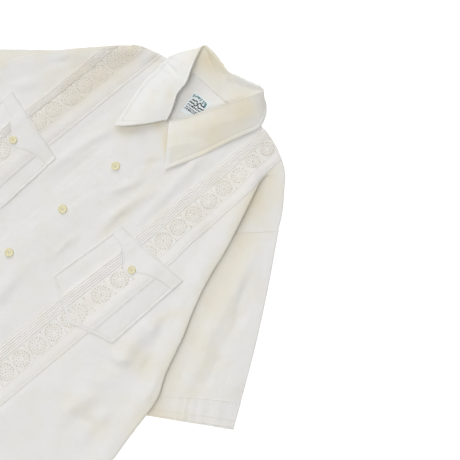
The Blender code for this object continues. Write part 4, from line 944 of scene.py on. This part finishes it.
def make_pocket(side):
    """Patch pocket sewn over the front and its band, with turned edges and a soft belly."""
    edge_steps = np.array([0, 0.004, 0.01, 0.016, 0.022, 0.029, 0.036, 0.043])
    across = np.concatenate([edge_steps, np.linspace(0.055, 0.945, 44), 1 - edge_steps[::-1]])
    a, d = np.meshgrid(across, across)
    x, y = pocket_place(side, a, d)
    seat = filled(top_of(["front_%s_cloth" % HAND[side], "band_%s_cloth" % HAND[side]], x, y))
    seat = softened(np.maximum(softened(seat, 5), seat), 2)
    sides = np.minimum(a, 1 - a)
    sewn = np.minimum(sides * 1.1, np.minimum(d * 1.6 + 0.02, 1 - d))
    belly = smooth(sewn / 0.16)
    turned = 1.2 * turned_edge(np.minimum(sides * 114, (1 - d) * 122), 4.2)
    turned = turned + 0.12 * np.sin((x + y) / 2.4 + np.sin(x / 7.0)) * smooth((0.07 - sewn) / 0.05)
    z = seat + 0.8 + 0.9 * belly + turned + undulation(x, y, 51 + side) * belly
    sew("pocket_" + HAND[side], grid(x, y, z), CLOTH, BODY_COTTON, threads=grid(x, y))


def make_facing(side):
    """Pointed facing across the top of a pocket."""
    down = [0.0, 0.02, 0.06, 0.12, 0.25, 0.4, 0.55, 0.7, 0.82, 0.9, 0.95, 0.975, 1.0]
    a, share = np.meshgrid(np.linspace(0.004, 0.996, 72), down)
    x, y = pocket_place(side, a, np.maximum(share * FACING_DEPTH(a) / POCKET_LENGTH, 0.002))
    seat = softened(filled(top_of(["pocket_%s_cloth" % HAND[side]], x, y)), 2)
    from_edge = np.minimum(share, 1 - share)
    pucker = 0.1 * np.sin(a * 60 + 1.7 * np.sin(a * 21)) * smooth((0.2 - from_edge) / 0.15)
    z = seat + 0.08 + 0.42 * smooth(from_edge / 0.06) + pucker - 0.22 * np.exp(-((share - 0.93) / 0.02) ** 2)
    sew("pocket_tab_" + HAND[side], grid(x, y, z), APPLIED_CLOTH, BODY_COTTON,
        name="pocket_facing_" + HAND[side], threads=grid(x, y))


def pocket_band_across(side, distance):
    """Share of the pocket's width at a distance across its stretch of band."""
    band = BANDS[side]
    out = band.inner + (distance + 2.5 if side == LEFT else band.width - distance)
    width = POCKET[0].outer_x - POCKET[0].inner_x
    return (out - POCKET[0].inner_x - POCKET_SHIFT[side][0] + 4.0) / (width + 6.0)


def make_pocket_band(side):
    """The pocket's own stretch of band, in line with the front's, from the pointed facing down."""
    distance, rise = band_relief(BANDS[side])
    across = pocket_band_across(side, distance)
    top_depth = FACING_DEPTH(across) / POCKET_LENGTH + 0.008
    x, y = pocket_place(side, across, mix(top_depth, 0.975, np.linspace(0, 1, 50)[:, None]))
    seat = softened(filled(top_of(["pocket_%s_cloth" % HAND[side]], x, y)), 1)
    sew("pocket_band_" + HAND[side], grid(x, y, seat + 0.1 + rise), APPLIED_CLOTH, BAND_COTTON,
        threads=grid(distance, y), stains_and_shade=BAND_STAINS_AND_SHADE)


class Sewing:
    """Paths of stitches or cords gathered from many seams, each laid on the cloth beneath it."""

    def __init__(self):
        self.points, self.edges = [], []

    def along(self, names, x, y, above=0.1, spacing=1.2):
        """Add a path as seen from above.  It breaks off where it leaves the cloth or meets a step."""
        run = np.r_[0, np.cumsum(np.hypot(np.diff(x), np.diff(y)))]
        want = np.linspace(0, run[-1], max(2, int(run[-1] / spacing)))
        last = None
        for hit in landing(names, np.interp(want, run, x), np.interp(want, run, y)):
            if hit is None or (last is not None and abs(self.points[last][2] - hit[0].z - above) > 0.9):
                last = None
                continue
            self.points.append((hit[0].x, hit[0].y, hit[0].z + above))
            here = len(self.points) - 1
            if last is not None:
                self.edges.append((last, here))
            last = here

    def over(self, places):
        """Add a path of known points."""
        start = len(self.points)
        self.points += [tuple(place) for place in places]
        self.edges += [(number, number + 1) for number in range(start, len(self.points) - 1)]


def grow(name, tree, points, edges, values, attributes=()):
    """Run a geometry tree on paths or on points and keep the result as a plain mesh."""
    piece = new_object(name, points, edges, [])
    for title, kind, field, numbers in attributes:
        layer = piece.data.attributes.new(title, kind, "POINT")
        layer.data.foreach_set(field, np.asarray(numbers, np.float32).ravel())
    maker = piece.modifiers.new("maker", "NODES")
    maker.node_group = tree
    for socket in tree.interface.items_tree:
        if socket.name in values:
            maker[socket.identifier] = values[socket.name]
    piece.update_tag()
    made = bpy.data.meshes.new_from_object(piece.evaluated_get(bpy.context.evaluated_depsgraph_get()))
    piece.modifiers.clear()
    piece.data = made
    made.name = name
    made.shade_smooth()
    hand_over(piece)


def grow_cords(name, sewing, radius, thread):
    grow(name, CORDS, sewing.points, sewing.edges, {"Cord radius": radius * MM, "Thread": thread})


def wheel_holes(kind, chance):
    """(across, along, hole radius) of one embroidered wheel about its centre."""
    holes = []
    for reach, count, radius in ((10.5, 19, 0.74), (7.1, 12, 0.62), (3.8, 6, 0.52)):
        for index in range(count):
            angle = 2 * math.pi * (index + 0.5 * kind + 0.2 * reach) / count
            holes.append((reach * math.cos(angle), reach * math.sin(angle), radius))
    if kind:
        holes.append((0.0, 0.0, 0.9))
    for across, radius in ((-11.2, 0.75), (-8.4, 0.5), (-5.6, 0.45), (5.6, 0.45), (8.4, 0.5), (11.2, 0.75)):
        holes.append((across, 13.1, radius))
    return [(a + chance.uniform(-0.4, 0.4), b + chance.uniform(-0.4, 0.4), r * chance.uniform(0.75, 1.2))
            for a, b, r in holes]


def embroider(side):
    """Eyelet wheels down the band, and down the pocket's stretch of it."""
    band = BANDS[side]
    middle = (band.embroidery_from + band.embroidery_to) / 2
    chance = random.Random(40 + side)
    angle = np.linspace(0, 2 * math.pi, 79)
    scalloped = 11.7 + 0.55 * np.abs(np.sin(13 * angle / 2))
    rim_across, rim_along = scalloped * np.cos(angle), scalloped * np.sin(angle)

    def on_band(y, across, along):
        return band_x(side, middle + across, y), y + along * (0.5 + 0.5 * BAND_SHARE[side](y))

    def on_pocket(depth, across, along):
        return pocket_place(side, pocket_band_across(side, middle + across), depth - along / 120.0)

    band_centres = band.first_wheel + WHEEL_PITCH * np.arange(-21, 9)
    for name, place, centres in (("band_" + HAND[side], on_band, band_centres),
                                 ("pocket_band_" + HAND[side], on_pocket, (0.475, 0.715, 0.955))):
        cloth = [name + "_cloth"]
        holes, rims = [], Sewing()
        for number, centre in enumerate(centres):
            for across, along, radius in wheel_holes(number % 2, chance):
                holes.append((*place(centre, across, along), radius * MM))
            for scale, above, spacing in ((0.42, 0.04, 1.5), (0.72, 0.04, 1.5), (1.0, 0.08, 0.9)):
                rims.along(cloth, *place(centre, scale * rim_across, scale * rim_along), above, spacing)
        x, y, radii = zip(*holes)
        landed = [(hit, radius) for hit, radius in zip(landing(cloth, x, y), radii) if hit]
        grow(name + "_eyelets", EYELETS, [(*hit[0].xy, hit[0].z + 0.06) for hit, _ in landed], [],
             {"Ring thickness": 0.22, "Thread": EMBROIDERY_COTTON, "Shade": EYELET_SHADE},
             [("hole_radius", "FLOAT", "value", [radius for _, radius in landed]),
              ("facing", "FLOAT_VECTOR", "vector", [hit[1] for hit, _ in landed])])
        grow_cords(name + "_wheel_rims", rims, 0.24, EMBROIDERY_COTTON)


def pocket_line(side, inset):
    """Line a set distance inside a pocket's sides and point, in millimetres."""
    a, d = inset / 114.0, inset / 122.0
    down = np.linspace(0.0, 1 - d, 60)
    across = np.concatenate([np.full(60, a), np.linspace(a, 1 - a, 60), np.full(60, 1 - a)])
    return pocket_place(side, across, np.concatenate([down, np.full(60, 1 - d), down[::-1]]))


def sew_seams(collar_rows):
    """Rows of stitches along every seam and hem that shows."""
    body, bands, collar = Sewing(), Sewing(), Sewing()
    for side, hand in HAND.items():
        front, band, pocket, sleeve = (["%s_%s_cloth" % (piece, hand)]
                                       for piece in ("front", "band", "pocket", "sleeve"))
        layout = BANDS[side]
        ys = np.linspace(HEM_Y + 2, 86, 260)
        for across in (1.0, layout.embroidery_from - 0.5, layout.embroidery_to + 1.2, layout.width - 4.5,
                       layout.width - 1.1):
            bands.along(band, band_x(side, across, ys), ys)
        hem_x = np.linspace(-16, float(EDGE[side](HEM_Y)) - 6, 120)
        body.along(front + band, side * hem_x, np.full(120, HEM_Y + 14.0))
        body.along(pocket, *pocket_line(side, 4.2))
        across = np.linspace(0.012, 0.988, 120)
        for share in (0.08, 0.93):
            depth = share * FACING_DEPTH(across) / POCKET_LENGTH
            body.along(["pocket_facing_" + hand], *pocket_place(side, across, depth))
        length = sleeve_run(side)[2]
        for inset in (2.0, 11.0, 33.5):
            body.along(sleeve, *sleeve_place(side, np.linspace(0.0, 0.995, 140), 1 - inset / length))
        x, y = sleeve_place(side, np.linspace(0.0, 0.99, 120), 2.0 / length)
        shown = side * x > EDGE[side](y) + 1.0
        if shown.any():
            body.along(sleeve, x[shown], y[shown])
    inwards = collar_rows[4:-4, ::-1]
    line = [row[np.searchsorted(run, 5.6)] + [0, 0, 0.12] for row, run in zip(inwards, distances(inwards))
            if row[0][2] >= 1.2]
    splits = [index for index in range(1, len(line)) if np.linalg.norm(line[index] - line[index - 1]) > 8]
    for start, end in zip([0] + splits, splits + [len(line)]):
        if end - start > 3:
            collar.over(line[start:end])
    for inwards in (collar_rows, collar_rows[::-1]):
        distance = np.linalg.norm(inwards[:20, -10] - inwards[0, -10], axis=1)
        front_edge = inwards[np.searchsorted(distance, 5.5)]
        collar.over(front_edge[40:-6] + [0, 0, 0.14])
    for part, sewing in (("body", body), ("band", bands), ("collar", collar)):
        grow(part + "_stitches", STITCHES, sewing.points, sewing.edges,
             {"Pitch": 2.7 * MM, "Stitch length": 2.1 * MM, "Thread radius": 0.3 * MM, "Thread": THREAD})


def label_place(x, y):
    """Place on the back of a point of the label, measured from the label's own middle."""
    cos, sin = math.cos(math.radians(LABEL_TURN)), math.sin(math.radians(LABEL_TURN))
    return LABEL_CENTRE[0] + x * cos - y * sin, LABEL_CENTRE[1] + x * sin + y * cos


def make_label():
    """Neck label: a small satin patch, a little puffed."""
    across = np.linspace(-0.5, 0.5, 30)
    x, y = np.meshgrid(across * LABEL_SIZE[0], across * LABEL_SIZE[1])
    at_x, at_y = label_place(x, y)
    rim = smooth((0.5 - np.abs(across)) / 0.08)
    seat = filled(top_of(["back_cloth"], at_x, at_y))
    z = seat + 0.3 + 0.5 * rim * rim[:, None] + 0.12 * undulation(x * 2, y * 2, 9)
    sew("neck_label", grid(at_x, at_y, z), 0.3, LABEL_SATIN, "neck_label_satin",
        threads=grid(x, y), stains_and_shade=[])


def embroider_label():
    """Plain ornament woven on the label: a teal sprig, two dark flourishes and rows of small bars."""
    sprig, dark = Sewing(), Sewing()
    chance = random.Random(8)
    label = ["neck_label_satin"]
    share = np.linspace(0, 1, 14)
    for number in range(9):
        for width in (0.0, 0.7):
            x = -11.5 + 2.5 * number + 2.6 * math.sin(1.1 * number) * share + width
            y = 8.5 + 4.6 * np.sin(1.6 * share + 0.3 * number) + 0.3 * width
            sprig.along(label, *label_place(x, y), 0.05, 0.6)
    for height, rise, reach in ((5.2, 1.9, 10.0), (0.6, 1.5, 11.0)):
        x = np.linspace(-reach, reach, 60)
        for offset in (0.0, 0.5, 1.0):
            y = height + offset + rise * np.sin(x * 0.95 + height) * np.cos(x * 0.21)
            dark.along(label, *label_place(x, y), 0.05, 0.5)
    for height, weight in ((-3.6, 3), (-7.0, 2), (-10.2, 3)):
        at = -11.0
        while at < 10.5:
            long = chance.uniform(0.8, 2.6)
            for step in range(weight):
                x = np.array([at, min(at + long, 11.5)])
                dark.along(label, *label_place(x, np.full(2, height + 0.75 * step)), 0.05, 0.4)
            at += long + chance.uniform(0.5, 1.2)
    grow_cords("label_sprig", sprig, 0.42, TEAL_THREAD)
    grow_cords("label_flourishes", dark, 0.38, INK_THREAD)


def spin(profile, sides):
    """Points and faces of a turned form about the z axis."""
    points, faces, rings = [], [], []
    for radius, height in profile:
        count = sides if radius else 1
        rings.append([len(points) + index % count for index in range(sides + 1)])
        points += [(radius * math.cos(angle), radius * math.sin(angle), height)
                   for angle in 2 * math.pi * np.arange(count) / sides]
    for low, high in zip(rings, rings[1:]):
        for index in range(sides):
            corners = [low[index], low[index + 1], high[index + 1], high[index]]
            faces.append(list(dict.fromkeys(corners)))
    return np.array(points), faces


def make_button(node, x, y, diameter, beneath):
    """Turned shell button: raised rim, shallow dish, four holes and crossed thread."""
    radius = diameter / 2
    gap = radius * 0.21
    angle = np.linspace(0, 6.28, 13)
    seat = top_of([beneath], x + np.cos(angle) * radius * 0.8, y + np.sin(angle) * radius * 0.8)
    seat = float(np.nanmax(seat)) + 0.05
    profile = [(0, 0.1), (0.8, 0.1), (0.94, 0.4), (1, 0.9), (1, 1.45), (0.97, 1.85), (0.9, 2.12),
               (0.83, 2.18), (0.76, 2.08), (0.7, 1.8), (0.64, 1.6), (0.5, 1.5), (0, 1.48)]
    points, faces = spin([(radius * share, height) for share, height in profile], 40)
    hand_over(dressed_piece(node + "_shell", points + [x, y, seat], faces, SHELL, 40), node)
    # Painted shade: a small flat disc in each of the four holes stands for the cloth seen through it
    hole_shade_disc, faces = spin([(radius * 0.13, 1.5), (radius * 0.11, 1.56), (0, 1.56)], 12)
    holes = [hole_shade_disc + [x + side_x * gap, y + side_y * gap, seat] for side_x in (-1, 1) for side_y in (-1, 1)]
    faces = [[index + number * len(hole_shade_disc) for index in face] for number in range(4) for face in faces]
    hand_over(dressed_piece(node + "_holes", np.concatenate(holes), faces, EYELET_SHADE))
    stitches = Sewing()
    run = np.linspace(-1, 1, 9)
    for side_y in (-1, 1):
        for strand in (-0.17, 0.17):
            stitches.over(np.stack([x + run * gap * 1.05, y + side_y * gap + strand + 0 * run,
                                    seat + 1.62 + 0.42 * (1 - run ** 4)], axis=1))
    grow_cords(node + "_thread", stitches, 0.22, THREAD)


def stage():
    """Plain white floor, soft light from the wearer's right, and the camera at the photo's angle."""
    scene = bpy.context.scene
    scene.view_settings.view_transform = "Standard"
    scene.world = bpy.data.worlds.new("pale_room")
    scene.world.use_nodes = True
    feed(scene.world.node_tree.nodes["Background"], {"Color": srgb("FFFFFF"), "Strength": 0.22})

    # Matt white paper that glows a little: the photo's blank ground, with a faint shadow at the cloth's edge
    paper = new_material("white_paper_floor", {
        "Base Color": (0.35, 0.35, 0.35, 1.0), "Roughness": 0.9, "Specular IOR Level": 0.0,
        "Emission Color": (1, 1, 1, 1), "Emission Strength": 0.8})[0]
    corners = np.array([(-6000, -6000, -0.6), (6000, -6000, -0.6), (6000, 6000, -0.6), (-6000, 6000, -0.6)])
    floor = new_object("floor", corners - NOTCH, [], [(0, 1, 2, 3)])
    floor.data.materials.append(paper)

    for name, strength, spread, towards in (("window_light", 1.4, 0.9, Vector((-0.82, 0.4, 0.62))),
                                            ("overhead_softbox", 1.75, 0.7, Vector((0.15, -0.3, 1.0)))):
        data = bpy.data.lights.new(name, "SUN")
        data.energy = strength
        data.angle = spread
        light = bpy.data.objects.new(name, data)
        light.rotation_euler = towards.to_track_quat("Z", "Y").to_euler()
        scene.collection.objects.link(light)

    data = bpy.data.cameras.new("camera")
    data.lens = 120
    data.sensor_width = 36
    data.clip_end = 20
    scene.camera = bpy.data.objects.new("camera", data)
    scene.camera.location = (0.5297, -0.1465, 1.9322)
    towards = Vector((0.1639, 0.1670, 0.0)) - scene.camera.location
    scene.camera.rotation_euler = towards.to_track_quat("-Z", "Y").to_euler()
    scene.collection.objects.link(scene.camera)


def declare_sheets():
    """Read each sheet's name, flat size in metres, share filled and the sheets beneath it from the table;
    nothing further is done with them.
    """
    for row in SHEETS.strip().splitlines():
        name, width, length, share, *beneath = row.split()
        width, length = float(width) * MM, float(length) * MM
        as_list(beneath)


stage()
make_back()
for side in (RIGHT, LEFT):
    make_sleeve(side)
for side in (RIGHT, LEFT):
    make_front(side)
    make_band(side)
    make_pocket(side)
    make_facing(side)
    make_pocket_band(side)
collar_rows = make_collar()
for side in (RIGHT, LEFT):
    embroider(side)
sew_seams(collar_rows)
make_label()
embroider_label()
for index in range(BUTTON_COUNT):
    make_button("front_button_%d" % (index + 1), BUTTON_X, BUTTON_TOP_Y - index * BUTTON_PITCH, BUTTON_D,
                "front_left_cloth")
for side, hand in HAND.items():
    make_button("pocket_button_" + hand, side * (POCKET_BUTTON[0] + POCKET_SHIFT[side][0]),
                POCKET_BUTTON[1] + POCKET_SHIFT[side][1], POCKET_BUTTON_D, "pocket_facing_" + hand)
declare_sheets()
